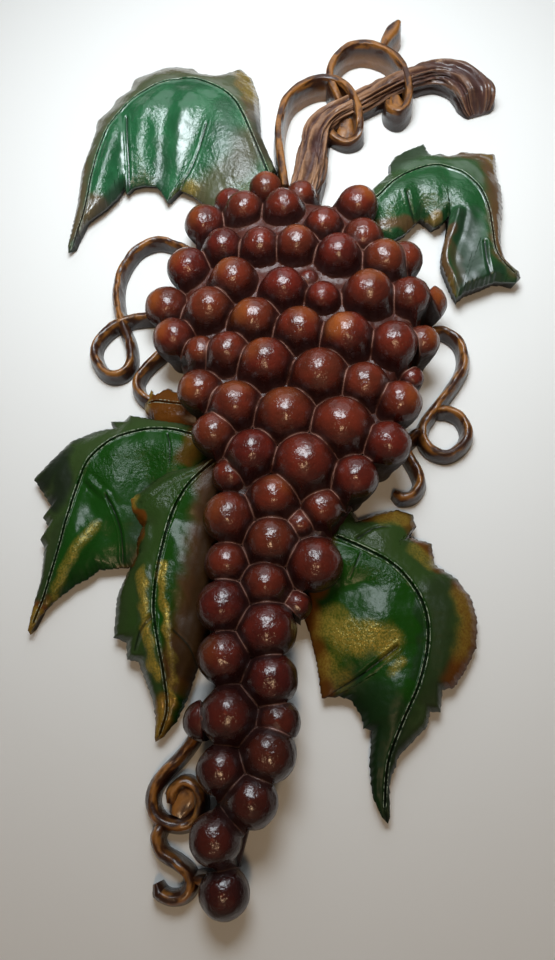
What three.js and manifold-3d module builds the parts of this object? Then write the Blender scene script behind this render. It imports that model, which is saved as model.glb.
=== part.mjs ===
// Grape-cluster wall plaque: one moulding with a flat back.
// Units are millimetres. X is across, Z is up as it hangs, and the front faces -Y.
// The wall lies in the plane y = 0, and the origin is on the flat back, near the top of the bunch.
// Places are written [across, up, out], where out is the distance from the wall.

import * as THREE from "three";
import Module from "manifold-3d";

const wasm = await Module();
wasm.setup();

// ---------------------------------------------------------------- sizes

const LEAF_EDGE = 7; // how far a leaf's edge stands off the wall
const LEAF_BILLOW = 4.5; // how far a leaf swells between two veins
const SIDE_DRAFT = 1.2; // how much wider a side wall is at the wall than at the front
const TENDRIL_HALF = 2.9; // half the width of a tendril at its top
const TENDRIL_OUT = 10;
const CURL_HALF = 2.7;
const CURL_OUT = 19; // how far the curls' rims stand off the wall
const GRAPE_SIDES = 9;
const GRAPE_RINGS = [0.6, 1.2]; // turns away from the front, in radians
const GRAPE_FULLNESS = 1.06; // makes up for the flats of a ring with few sides
const CORE_STEPS = 3;
const CORE_DROP = 2; // how far the filling stands below the middles of the grapes

// The bunch is a low dome with a long tail that leans to the left.
const DOME = { x: 5, z: -100, halfWidth: 92, halfHeight: 135, rise: 23 };
const TAIL = { x: -14, z: -190, lean: 0.155, halfWidth: 42, rise: 10 };
const GRAPE_BASE = 15; // the least distance from the wall to the middle of a grape

// Each grape: across, up, radius, and how far it is sunk below its neighbours.
const GRAPES = [
  // the crown
  [-22, 34, 11, 0], [-45, 25, 11, 4], [-35, 9, 12, 0], [-10, 6, 12, 0], [-61, 5, 13.5, 0],
  [15, -9, 11.5, 3], [37, 10, 13, 2], [39, -17, 13, 6], [1, 23, 10, 5],
  // the shoulders
  [-47, -24, 12, 0], [-24, -27, 12, 0], [-2, -28, 12.5, 0], [23, -36, 13, 0], [51, -38, 13.5, 2],
  [63.5, -34, 11.5, 3.5], [-69, -35, 13.5, 0], [-82, -60, 13.5, 0],
  // the body
  [-40, -51, 13.5, 0], [-10, -61, 13, 0], [5, -50, 7, 8], [13, -67, 10, 2], [40, -65, 14.5, 0],
  [64, -65, 12.5, 1], [75, -64, 12.5, 7], [-54, -71, 13.5, 0], [-27, -82, 13.5, 0], [-1, -90, 13.5, 0],
  [26, -95, 14.5, 0], [53, -99, 13.5, 0], [70, -95, 10, 2], [-75, -87, 12.5, 0], [-58, -99, 10, 2],
  [-42, -102, 12, 0], [-20, -111, 14.5, 0], [10, -120, 15.5, 0], [35, -126, 13, 0],
  [54, -136, 12.5, 0], [63, -116, 7, 8], [-58, -125, 12.5, 0], [-37, -136, 14, 0],
  [-9, -144, 16, 0], [21, -151, 16.5, 0], [46, -161, 13, 0], [-49, -152, 12, 0],
  // the waist
  [-27, -165, 13.5, 0], [1, -172, 16.5, 0], [28, -180, 12.5, 0], [-40, -175, 10, 5],
  [-16, -190, 12.5, 0], [10, -195, 11, 5], [-2, -203, 8, 6], [-40, -199, 14, 0],
  [-17, -213, 13.5, 0], [6, -225, 14.5, 0], [-41, -223, 12, 3], [-20, -236, 12, 0],
  // the tail
  [-42, -247, 14, 0], [-4, -245, 8, 6], [-19, -260, 15, 0], [-41, -273, 13.5, 0],
  [-17, -284, 13.5, 0], [-38, -301, 14, 0], [-51, -303, 10, 4], [-14, -304, 11.5, 3],
  [-18, -319, 13.5, 0], [-41, -326, 12, 2], [-26, -340, 12.5, 0], [-43, -356, 12.5, 0],
  [-39, -379, 12, 4],
];

// A leaf has a midrib of ten places from stalk to tip, numbered 0 to 9. Its two edges give, for
// a place along the midrib, where the edge is across and up and, where it isn't LEAF_EDGE, how
// far out it stands. Veins run from the midrib to the edge at the places listed.
const LEAVES = {
  topLeft: {
    midrib: [
      [-20, 44, 17], [-31, 75, 18], [-46, 110, 19], [-68, 126, 20], [-90, 126.5, 20],
      [-112, 111, 20], [-128, 88, 18], [-137, 60, 16], [-142, 30, 13], [-149, 0, 7],
    ],
    tip: [-153, -5, 4],
    outer: [
      [0, -15, 56], [1, -26, 86], [1.5, -27, 104], [2, -28, 124], [2.3, -33, 143], [2.5, -41, 153],
      [2.9, -53, 142], [3.1, -65, 146], [3.2, -69, 144], [3.4, -75, 153], [3.8, -88, 157],
      [4.3, -104, 152], [4.7, -119, 145], [4.9, -121, 132], [5.2, -131, 126], [5.4, -134, 115],
      [5.8, -143, 104], [6.1, -143, 91], [7, -149.5, 60], [8, -150, 32], [9, -153, -1],
    ],
    inner: [
      [0, -24, 34], [1, -45, 24], [1.5, -62, 28], [2, -72, 38], [2.3, -81, 43], [2.5, -89, 33],
      [2.9, -94, 43], [3.4, -98, 47], [4.3, -106, 48], [4.9, -113, 46], [5.2, -117, 41],
      [5.4, -119, 47], [6.1, -123, 38], [7, -131, 28], [8, -142, 18], [9, -150, 0],
    ],
    veins: [0, 2.5, 3.6, 5.2, 8],
  },
  topRight: {
    midrib: [
      [50, 20, 18], [62, 32, 18], [76, 42.5, 18], [90, 46.5, 18], [104, 41.5, 18],
      [115, 30, 18], [121, 14, 17], [122, -4, 16.5], [123, -22.5, 15.5], [133, -35.5, 12],
    ],
    tip: [138, -36.5, 8],
    outer: [
      [0, 48, 37], [0.8, 61, 50], [1, 61, 58], [1.3, 65, 66], [1.7, 77, 73], [2, 86, 77],
      [2.2, 88, 69], [2.5, 91, 64], [2.9, 97, 67], [3.2, 102, 63], [3.6, 112, 68.5], [4, 123, 66],
      [4.4, 133, 65.5], [4.9, 132, 48], [5.3, 134, 35], [5.9, 133, 20], [6.5, 130, 4],
      [7.3, 128, -12, 8], [8, 130, -24.5, 9], [9, 137, -32.5, 10],
    ],
    inner: [
      [0, 44, 8], [0.8, 52, -5, 10], [1, 60, -6, 10], [1.3, 68, -1, 10], [1.7, 75, 7, 10],
      [2, 79, 11, 10], [2.5, 87, 3, 10], [2.9, 92, 6, 10], [3.2, 97, 11, 12], [3.6, 97, 3, 14],
      [4, 93, -8, 15], [4.4, 89.5, -18, 15], [4.9, 88.5, -28, 14], [5.3, 92, -41.5, 13],
      [5.9, 96, -53.5, 12], [6.5, 101, -48.5, 12], [7.3, 113, -44, 12], [8, 121, -40.5, 11], [9, 134, -40.5, 10],
    ],
    veins: [0, 2, 3.4, 5.9, 8],
  },
  leftUpper: {
    midrib: [
      [-60, -146, 17], [-80, -141.5, 17], [-100, -144, 17], [-114, -152, 17], [-123, -163, 16],
      [-128, -178, 15], [-131, -193, 14], [-135, -213, 12], [-141, -236, 10], [-146, -251, 7],
    ],
    tip: [-148, -257, 4],
    outer: [
      [0, -62, -134], [1, -88, -131], [1.5, -103, -127], [1.6, -106, -131], [1.8, -114, -131],
      [2, -112, -136], [2.5, -124, -138], [3, -137, -144], [3.5, -148, -157], [4, -156, -167],
      [4.9, -144, -184], [5.2, -148, -191], [5.5, -144, -197], [5.9, -148, -204],
      [6.2, -145, -209], [7, -145, -228], [8, -148, -245], [9, -149, -255],
    ],
    inner: [
      [0, -54, -158], [1, -66, -185], [2, -78, -205], [3, -86, -218], [3.5, -93, -221],
      [4.5, -101, -221], [5.5, -113, -222], [5.9, -119, -227], [6.2, -125, -230],
      [7, -137, -240], [8, -143, -247], [9, -147, -255],
    ],
    veins: [0, 1.8, 4.5, 7.5],
  },
  leftLower: {
    midrib: [
      [-46, -160, 20], [-60, -174, 21], [-70, -190, 21], [-75, -208, 20], [-78, -227, 20],
      [-79, -246, 19], [-76, -263, 18], [-72.5, -279, 16], [-70.5, -296, 13], [-74, -308, 8],
    ],
    tip: [-77, -312, 4],
    outer: [
      [0, -50, -156, 14], [0.5, -64, -165, 14], [1, -78, -168, 15], [1.4, -88, -176, 15],
      [1.7, -99, -184, 14], [2, -97, -191, 13], [2.4, -89, -199, 13], [2.8, -92, -206, 12],
      [3.2, -92, -215, 10], [3.8, -97, -224, 8], [4.4, -102, -237], [5.2, -102, -259],
      [5.5, -95, -262], [5.9, -94, -271], [6.2, -88, -272], [6.8, -84, -281], [7.5, -79, -292],
      [8.3, -77, -302], [9, -77, -310],
    ],
    inner: [
      [0, -40, -165, 14], [2, -45, -195, 12], [3.8, -46, -225, 10], [5.5, -50, -255, 9],
      [6.8, -57, -278], [7.5, -61, -291], [8.3, -66, -302], [9, -73, -310],
    ],
    veins: [0, 2.4, 5.2, 8],
  },
  rightLower: {
    midrib: [
      [18, -208, 18], [34, -216, 18], [47, -224, 18], [57, -236, 18], [62.5, -250, 18],
      [62.5, -266, 17], [57, -285, 16], [48, -303, 14], [40, -322, 12], [37.5, -342, 8],
    ],
    tip: [39, -350, 4],
    outer: [
      [0, 24, -186, 10], [0.3, 31, -195], [0.6, 42, -191], [1, 52, -189], [1.4, 61, -192],
      [1.6, 62, -199], [1.8, 58, -205], [2.1, 70, -209], [2.5, 71, -221], [3, 82, -229],
      [3.5, 89, -240], [4, 91, -252], [4.6, 89, -266], [5.1, 82, -278], [5.4, 76, -286],
      [5.7, 70, -287], [6, 68, -298], [6.2, 63, -298], [6.5, 61, -305], [7.5, 46, -319],
      [8.2, 40.5, -332], [9, 40, -347],
    ],
    inner: [
      [0, 8, -205, 10], [1, 0, -225, 9], [2.1, -1, -248], [3, 3, -260], [3.5, 6, -274],
      [4.6, 8, -291], [5.1, 17, -290], [5.4, 23, -292], [5.7, 28, -300], [6, 29, -306],
      [6.5, 33, -307], [7.5, 31, -323], [8.2, 32, -338], [9, 36, -347],
    ],
    veins: [0, 2.1, 4.6, 7.5],
  },
};

// A torn brown scrap of leaf beside the bunch, laid out like a leaf with a short midrib.
const SCRAP = {
  midrib: [[-62, -128, 18], [-75, -124, 15], [-86, -121, 12], [-91, -121, 9]],
  tip: [-95, -121, 6],
  outer: [[0, -66, -114], [1, -76, -112], [1.5, -81, -109], [2, -88, -114], [2.5, -91, -110], [3, -93, -116]],
  inner: [[0, -60, -142], [1, -74, -140], [2, -86, -137], [2.5, -88, -131], [3, -93, -126]],
  veins: [0, 3],
};

// Tendrils: the middle line across and up.
const TENDRILS = {
  leftRing: [
    [-66, -13], [-78, -4], [-92, 1], [-104, -3], [-112, -13], [-117, -28], [-117, -43],
    [-113, -60], [-107, -75], [-105, -89], [-109, -97], [-116, -99], [-123, -94], [-128, -83],
    [-126, -73], [-118, -64], [-106, -59], [-88, -57],
  ],
  leftHook: [[-84, -82], [-92, -90], [-98, -98], [-100, -106], [-96, -114], [-86, -121]],
  rightRing: [
    [76, -73], [88, -73], [96, -80], [98.5, -90], [96, -101], [87, -115], [76, -129], [70, -140],
    [73, -151], [82, -155.5], [91, -151], [96, -142], [93, -132], [86, -127.5], [78, -127],
  ],
  rightLink: [[52, -150], [60, -148], [66, -142], [71, -141]],
  rightHook: [[59, -147], [60.5, -155], [65, -165], [66.5, -173], [62, -180], [56, -181.5], [51.5, -178]],
  lowerRing: [
    [-55, -303], [-59, -313], [-71, -326.5], [-76, -334], [-76.5, -342], [-71.5, -349],
    [-62.5, -351], [-55, -348], [-52.5, -341], [-55, -334], [-61, -331], [-66.5, -335.5], [-67.5, -341],
  ],
  lowerHook: [
    [-71, -349], [-73.5, -357], [-70.5, -363], [-57.5, -371.5], [-56, -377], [-59.5, -381.5],
    [-65.5, -382.5], [-72, -377.5],
  ],
  lowerLink: [[-56, -374], [-44, -374]],
};

// The two curls wind round the stem as narrow bands on edge: across, up and, where it isn't CURL_OUT, out.
const CURLS = {
  first: [
    [-9, 34], [-12, 60], [-13.5, 85], [-9, 110], [2, 124], [18, 130.5], [32, 124], [40, 108],
    [42, 92, 18], [41, 84, 13], [34, 81, 9], [26, 85, 9], [20, 92, 10],
  ],
  second: [
    [30, 112, 14], [23, 130, 18], [25, 145], [34, 158], [48, 162.5], [63, 156], [73, 143],
    [77, 125], [76, 108, 18], [70, 99, 17], [64, 103, 16], [63, 111, 14],
  ],
};

// The curls and the lower ring close to shallow cups, and a blade stands behind the second curl.
const CUPS = [
  [[33, 100, 9, 8], [33, 92, 7, 8], [32, 84, 5, 6]],
  [[-57, -331, 7, 4], [-60.5, -339, 6.5, 7.5], [-64, -347, 6, 4]],
  [[68, 116, 13, 5], [69, 107, 12, 8], [69, 100, 11, 6]],
];
const BLADE = [[61, 160, 16, 3], [65, 170, 17, 4.5], [70, 179, 17, 5.5], [74, 186, 16, 2.5]];

// The stem: across, up, out, half width.
const STEM = [
  [-1, 8, 22, 9], [3, 30, 19, 9.5], [7, 50, 18, 10], [9.5, 70, 17, 9.5], [13, 88, 16, 9],
  [22, 101, 15, 8], [35, 109, 15, 7], [50, 118, 16, 7], [65, 127, 17, 7], [80, 134, 17, 7],
  [95, 138.5, 17, 7.5], [107, 137.5, 18, 9.5], [117, 131, 18, 12], [123, 121, 18, 13.5], [125.5, 109, 14, 12.5],
];

// ---------------------------------------------------------------- bodies from rings of places

function toFront([across, up, out]) {
  return [across, -out, up];
}

function middleOf(places) {
  const sum = [0, 0, 0];
  for (const place of places) {
    place.forEach((value, axis) => {
      sum[axis] += value / places.length;
    });
  }
  return sum;
}

function signedVolume(points, faces) {
  let total = 0;
  for (const [a, b, c] of faces) {
    const [p, q, r] = [a, b, c].map((index) => new THREE.Vector3(...points[index]));
    total += p.dot(q.cross(r)) / 6;
  }
  return total;
}

// Joins rings of equal length one after another and closes both ends to a place.
function skin(rings, firstEnd = middleOf(rings[0]), lastEnd = middleOf(rings[rings.length - 1])) {
  const count = rings[0].length;
  const points = [...rings.flat(), firstEnd, lastEnd].map(toFront);
  const first = points.length - 2;
  const last = points.length - 1;
  const faces = [];
  for (let i = 0; i < count; i += 1) {
    const next = (i + 1) % count;
    faces.push([first, next, i]);
    for (let row = 0; row < rings.length - 1; row += 1) {
      const here = row * count;
      const there = here + count;
      faces.push([here + i, here + next, there + next]);
      faces.push([here + i, there + next, there + i]);
    }
    const end = (rings.length - 1) * count;
    faces.push([end + i, end + next, last]);
  }
  if (signedVolume(points, faces) < 0) {
    faces.forEach((face) => face.reverse());
  }
  const vertProperties = new Float32Array(points.flat());
  const triVerts = new Uint32Array(faces.flat());
  return new wasm.Manifold(new wasm.Mesh({ numProp: 3, vertProperties, triVerts }));
}

// Reads a list of rows along a smooth curve, at a place between two of them.
function smooth(rows, place) {
  const index = Math.min(Math.max(Math.floor(place), 0), rows.length - 2);
  const part = place - index;
  const before = rows[Math.max(index - 1, 0)];
  const after = rows[Math.min(index + 2, rows.length - 1)];
  return rows[index].map((from, column) => {
    const to = rows[index + 1][column];
    const leave = (to - before[column]) / 2;
    const arrive = (after[column] - from) / 2;
    const gap = to - from;
    const cubic = leave + arrive - 2 * gap;
    const square = 3 * gap - 2 * leave - arrive;
    return from + part * (leave + part * (square + part * cubic));
  });
}

// ---------------------------------------------------------------- grapes and the filling behind

function grapeOut(x, z) {
  const dome = 1 - ((x - DOME.x) / DOME.halfWidth) ** 2 - ((z - DOME.z) / DOME.halfHeight) ** 2;
  const axis = TAIL.x - (TAIL.z - z) * TAIL.lean;
  const across = Math.sqrt(Math.max(1 - ((x - axis) / TAIL.halfWidth) ** 2, 0));
  const starts = THREE.MathUtils.clamp((-150 - z) / 60, 0, 1);
  const ends = THREE.MathUtils.clamp((z + 395) / 60, 0, 1);
  const rise = Math.max(DOME.rise * Math.sqrt(Math.max(dome, 0)), TAIL.rise * across * starts * ends);
  return GRAPE_BASE + rise;
}

// A half ball on a slightly flared post that stands on the wall, or on the filling in mid bunch.
function grape([x, z, radius, sunk]) {
  const middle = grapeOut(x, z) - sunk;
  const size = radius * GRAPE_FULLNESS;
  const foot = isInsideCore(x, z, radius) ? 2 : 0;
  const profile = [
    ...GRAPE_RINGS.map((turn) => [size * Math.sin(turn), middle + radius * Math.cos(turn)]),
    [size + SIDE_DRAFT, foot],
  ];
  const rings = profile.map(([across, out]) => {
    const ring = [];
    for (let i = 0; i < GRAPE_SIDES; i += 1) {
      const angle = (2 * Math.PI * (i + 0.5)) / GRAPE_SIDES;
      ring.push([x + across * Math.cos(angle), z + across * Math.sin(angle), out]);
    }
    return ring;
  });
  return skin(rings, [x, z, middle + radius], [x, z, foot]);
}

// The filling follows the bunch a little inside its outline: up, left edge, right edge.
const CORE = [
  [20, -48, 16], [0, -66, 44], [-35, -70, 62], [-65, -80, 74], [-95, -74, 68], [-125, -60, 56],
  [-155, -50, 48], [-185, -44, 30], [-225, -46, 8], [-265, -46, -12], [-305, -46, -14],
  [-345, -44, -26], [-375, -42, -34],
];

function isInsideCore(x, z, radius) {
  const after = CORE.findIndex((row) => row[0] < z - radius);
  if (after < 1 || z + radius > CORE[0][0]) {
    return false;
  }
  const near = CORE.filter((row) => Math.abs(row[0] - z) < 30 + radius);
  const room = radius + SIDE_DRAFT + 1;
  return near.every(([, left, right]) => x - room > left && x + room < right);
}

function core() {
  const rings = CORE.map(([z, left, right]) => {
    const ring = [[right, z, 0]];
    for (let i = 0; i <= CORE_STEPS; i += 1) {
      const x = right + ((left - right) * i) / CORE_STEPS;
      const edge = i === 0 || i === CORE_STEPS ? 0.6 : 1;
      ring.push([x, z, (grapeOut(x, z) - CORE_DROP) * edge]);
    }
    ring.push([left, z, 0]);
    return ring;
  });
  return skin(rings);
}

// ---------------------------------------------------------------- leaves

function edgeAt(edge, place) {
  const after = Math.max(edge.findIndex((row) => row[0] >= place), 1);
  const [from, to] = [edge[after - 1], edge[after]];
  const part = (place - from[0]) / (to[0] - from[0]);
  const [fromOut, toOut] = [from[3] ?? LEAF_EDGE, to[3] ?? LEAF_EDGE];
  return [from[1] + (to[1] - from[1]) * part, from[2] + (to[2] - from[2]) * part, fromOut + (toOut - fromOut) * part];
}

function swellAt(veins, place) {
  const after = veins.findIndex((vein) => vein > place);
  if (after < 1) {
    return 0;
  }
  const part = (place - veins[after - 1]) / (veins[after] - veins[after - 1]);
  return Math.sin(Math.PI * part);
}

// One half of a leaf from the midrib to an edge; reach is 0 on the midrib and 1 on the edge.
function leafPlace(leaf, side, place, reach) {
  const rib = smooth(leaf.midrib, place);
  const edge = edgeAt(leaf[side], place);
  const swell = LEAF_BILLOW * swellAt(leaf.veins, place) * (side === "inner" ? 1 : 0.4);
  const fall = reach ** 1.6;
  const out = rib[2] + (edge[2] - rib[2]) * fall + swell * 4 * reach * (1 - reach);
  return [rib[0] + (edge[0] - rib[0]) * reach, rib[1] + (edge[1] - rib[1]) * reach, out];
}

function leafBody(leaf) {
  const places = new Set([...leaf.outer, ...leaf.inner].map((row) => row[0]));
  const rings = [...places].sort((a, b) => a - b).map((place) => {
    const outer = [1, 0.5].map((reach) => leafPlace(leaf, "outer", place, reach));
    const inner = [0, 0.5, 1].map((reach) => leafPlace(leaf, "inner", place, reach));
    const rib = inner[0];
    const onWall = [inner[2], rib, outer[0]].map(([x, z]) => [x, z, 0]);
    return [...outer, ...inner, ...onWall];
  });
  return skin(rings, undefined, leaf.tip);
}

// ---------------------------------------------------------------- tendrils, curls and stem

// Sweeps a section with a flat back along places [across, up, out, half width].
function strip(rows, steps, section) {
  const rings = [];
  for (let i = 0; i <= steps; i += 1) {
    const place = (i / steps) * (rows.length - 1);
    const [x, z, out, half] = smooth(rows, place);
    const step = 0.02;
    const ahead = smooth(rows, Math.min(place + step, rows.length - 1));
    const behind = smooth(rows, Math.max(place - step, 0));
    const length = Math.hypot(ahead[0] - behind[0], ahead[1] - behind[1]);
    const sideX = -(ahead[1] - behind[1]) / length;
    const sideZ = (ahead[0] - behind[0]) / length;
    rings.push(section(half).map(([side, rise]) => [x + sideX * side, z + sideZ * side, rise * out]));
  }
  return skin(rings);
}

function roundTop(half) {
  const foot = half + SIDE_DRAFT;
  return [[-foot, 0], [-half, 0.75], [0, 1], [half, 0.75], [foot, 0]];
}

function barkTop(half) {
  const foot = half + SIDE_DRAFT;
  return [
    [-foot, 0], [-half, 0.65], [-half * 0.55, 0.97], [half * 0.55, 0.97], [half, 0.65], [foot, 0],
  ];
}

function bandTop(half) {
  return [[-half - SIDE_DRAFT, 0], [-half, 0.93], [0, 1], [half, 0.93], [half + SIDE_DRAFT, 0]];
}

const tendrils = Object.values(TENDRILS).map((line) => {
  const rows = line.map(([x, z]) => [x, z, TENDRIL_OUT, TENDRIL_HALF]);
  return strip(rows, line.length - 1, roundTop);
});

const curls = Object.values(CURLS).map((line) => {
  const rows = line.map(([x, z, out = CURL_OUT]) => [x, z, out, CURL_HALF]);
  return strip(rows, line.length, bandTop);
});

const stem = strip(STEM, STEM.length - 2, barkTop);
const cups = CUPS.map((rows) => strip(rows, 2, roundTop));
const blade = strip(BLADE, 3, bandTop);

// ---------------------------------------------------------------- the plaque

const leaves = [...Object.values(LEAVES), SCRAP].map(leafBody);
const plaque = [core(), ...GRAPES.map(grape), ...leaves, ...tendrils, ...curls, ...cups, blade, stem]
  .reduce((whole, piece) => whole.add(piece));

const shape = plaque.getMesh();
const geometry = new THREE.BufferGeometry();
geometry.setAttribute("position", new THREE.BufferAttribute(new Float32Array(shape.vertProperties), 3));
geometry.setIndex([...shape.triVerts]);

const lacquer = new THREE.MeshStandardMaterial({ color: 0x5e2a20, roughness: 0.3, metalness: 0 });
const body = new THREE.Mesh(geometry, lacquer);
body.name = "plaque";

const group = new THREE.Group();
group.name = "grape_plaque";
group.add(body);

export default group;
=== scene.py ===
"""Grape-cluster wall plaque: one moulding, painted and airbrushed, with shade and some highlights painted
into its colours, and lacquered.

Sizes in the tables are millimetres, written as across, up and out, where out is the distance
from the wall. The wall is the plane y = 0 and the front of the plaque faces -Y.
"""

import math

import bmesh
import bpy
import numpy as np
from mathutils import Matrix, Vector


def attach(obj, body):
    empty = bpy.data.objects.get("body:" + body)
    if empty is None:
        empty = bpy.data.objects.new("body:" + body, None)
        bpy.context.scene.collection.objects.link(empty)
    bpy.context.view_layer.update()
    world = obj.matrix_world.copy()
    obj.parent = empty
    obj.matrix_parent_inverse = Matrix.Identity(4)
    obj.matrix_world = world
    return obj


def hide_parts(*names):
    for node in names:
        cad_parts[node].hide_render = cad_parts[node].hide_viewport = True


bl_info = {
    "name": "Grape plaque",
    "version": (1, 0, 0),
    "blender": (4, 5, 0),
    "location": "View3D > Sidebar > Plaque",
    "description": "Builds a moulded and lacquered bunch of grapes with vine leaves",
    "category": "Add Mesh",
}

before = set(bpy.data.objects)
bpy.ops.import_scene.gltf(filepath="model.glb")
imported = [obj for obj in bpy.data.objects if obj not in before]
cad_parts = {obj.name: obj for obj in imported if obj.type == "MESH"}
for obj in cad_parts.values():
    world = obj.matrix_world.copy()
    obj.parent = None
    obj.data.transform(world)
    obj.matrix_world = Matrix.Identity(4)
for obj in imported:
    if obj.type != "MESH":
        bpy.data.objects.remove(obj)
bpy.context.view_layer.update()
MM = 0.001  # the tables are in millimetres and the scene is in metres
RNG = np.random.default_rng(17)

# ------------------------------------------------------------------ the moulding's tables

LEAF_EDGE = 7.0  # how far a leaf's edge stands off the wall
LEAF_BILLOW = 4.5  # how far a leaf swells between two of its veins
FINE_LINE = 3  # a line on a leaf that is narrower than this is a fine vein or crease
GRAPE_BASE = 15  # the least distance from the wall to the middle of a grape
GRAPE_TURNS, GRAPE_ROWS = 56, 18  # how finely a grape is meshed, round it and from its top to its rim
FREE_RIM = 0.998  # where a grape that meets nothing ends, in radii
FAR = 12.0  # a distance to the nearest crease that counts as none near
WAVES, WAVES_REACH = 14, 5.3  # how many waves make up a ripple, and what brings them back to about 1

# The bunch swells from the wall as a dome, and below it as the long rounded ridge of the tail.
DOME = {"x": 5, "z": -100, "half_width": 92, "half_height": 135, "rise": 23}
TAIL = {
    "x": -14, "z": -190, "lean": 0.155, "half_width": 42, "rise": 10, "top": -150, "foot": -395, "run": 60,
}

# Each grape: across, up, radius, and how far it is sunk below its neighbours.
CROWN = [
    (-22, 34, 11, 0), (-45, 25, 11, 4), (-35, 9, 12, 0), (-10, 6, 12, 0), (-61, 5, 13.5, 0),
    (15, -9, 11.5, 3), (37, 10, 13, 2), (39, -17, 13, 6), (1, 23, 10, 5),
    (-47, -24, 12, 0), (-24, -27, 12, 0), (-2, -28, 12.5, 0), (23, -36, 13, 0),
    (51, -38, 13.5, 2), (63.5, -34, 11.5, 3.5), (-69, -35, 13.5, 0), (-82, -60, 13.5, 0),
]
BODY = [
    (-40, -51, 13.5, 0), (-10, -61, 13, 0), (5, -50, 7, 8), (13, -67, 10, 2), (40, -65, 14.5, 0),
    (64, -65, 12.5, 1), (75, -64, 12.5, 7), (-54, -71, 13.5, 0), (-27, -82, 13.5, 0),
    (-1, -90, 13.5, 0), (26, -95, 14.5, 0), (53, -99, 13.5, 0), (70, -95, 10, 2),
    (-75, -87, 12.5, 0), (-58, -99, 10, 2), (-42, -102, 12, 0), (-20, -111, 14.5, 0),
    (10, -120, 15.5, 0), (35, -126, 13, 0), (54, -136, 12.5, 0), (63, -116, 7, 8),
    (-58, -125, 12.5, 0), (-37, -136, 14, 0), (-9, -144, 16, 0), (21, -151, 16.5, 0),
    (46, -161, 13, 0), (-49, -152, 12, 0),
]
TAIL_GRAPES = [
    (-27, -165, 13.5, 0), (1, -172, 16.5, 0), (28, -180, 12.5, 0), (-40, -175, 10, 5),
    (-16, -190, 12.5, 0), (10, -195, 11, 5), (-2, -203, 8, 6), (-40, -199, 14, 0),
    (-17, -213, 13.5, 0), (6, -225, 14.5, 0), (-41, -223, 12, 3), (-20, -236, 12, 0),
    (-42, -247, 14, 0), (-4, -245, 8, 6), (-19, -260, 15, 0), (-41, -273, 13.5, 0),
    (-17, -284, 13.5, 0), (-38, -301, 14, 0), (-51, -303, 10, 4), (-14, -304, 11.5, 3),
    (-18, -319, 13.5, 0), (-41, -326, 12, 2), (-26, -340, 12.5, 0), (-43, -356, 12.5, 0),
    (-39, -379, 12, 4),
]
GRAPES = np.array(CROWN + BODY + TAIL_GRAPES, float)

# Where the airbrush left an orange bloom on a grape: across, up, towards, strength.
BLOOMS = [
    (26, -95, (-0.5, 0.2), 1.0), (-82, -60, (-0.9, 0.1), 0.9), (-75, -87, (-0.9, 0.2), 0.7),
    (-27, -82, (-0.8, 0.1), 0.8), (37, 10, (0.6, 0.5), 0.9), (75, -64, (0.9, 0.1), 0.8),
    (70, -95, (0.9, 0.1), 0.6), (65, -35, (0.8, 0.3), 0.7), (-58, -125, (-0.8, -0.2), 0.6),
    (40, -65, (0.1, 0.7), 0.6), (-40, -51, (-0.6, 0.5), 0.6), (-2, -28, (0.1, 0.9), 0.6),
    (-61, 5, (-0.8, 0.1), 0.5), (-22, 34, (0.0, 0.9), 0.5), (-69, -35, (-0.8, 0.3), 0.5),
    (-37, -136, (0.0, 0.8), 0.5), (-20, -111, (-0.6, 0.5), 0.5), (51, -38, (0.3, 0.8), 0.5),
    (54, -136, (0.9, 0.0), 0.5), (-9, -144, (-0.2, 0.8), 0.35), (-40, -199, (-0.8, 0.2), 0.4),
    (-41, -273, (-0.8, 0.2), 0.4), (-16, -190, (0.5, 0.7), 0.4), (-1, -90, (0.3, 0.6), 0.5),
]

# The filling behind the grapes: up, left edge, right edge.
FILLING = np.array([
    (20, -48, 16), (0, -66, 44), (-35, -70, 62), (-65, -80, 74), (-95, -74, 68),
    (-125, -60, 56), (-155, -50, 48), (-185, -44, 30), (-225, -46, 8), (-265, -46, -12),
    (-305, -46, -14), (-345, -44, -26), (-375, -42, -34),
], float)
FILLING_LIFT = -5.0  # how far the filling stands below the middles of the grapes
# The filling counts as lying in a crease, so it takes the painted shade of the hollows.
FILLING_TONES = {"crease": 0.9, "bloom": 0.0, "tone": 0.3, "wall": 0.0}
STEEP = 2.5  # the steepest slope of a grape's front before it runs on as a cone

# The side walls from the rim down: the height that is left, and how far the wall has fallen back,
# in radii for a grape and in millimetres for a leaf. A leaf's third number is how much painted shade darkens
# its wall.
GRAPE_WALLS = ((0.85, 0.02), (0.62, 0.1), (0.4, 0.2), (0.2, 0.27), (0.06, 0.3), (0.0, 0.31))
LEAF_WALLS = ((0.9, 0.0, 0.5), (0.74, 0.7, 0.9), (0.48, 2.6, 1.0), (0.22, 3.8, 1.0), (0.0, 4.3, 1.0))

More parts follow.
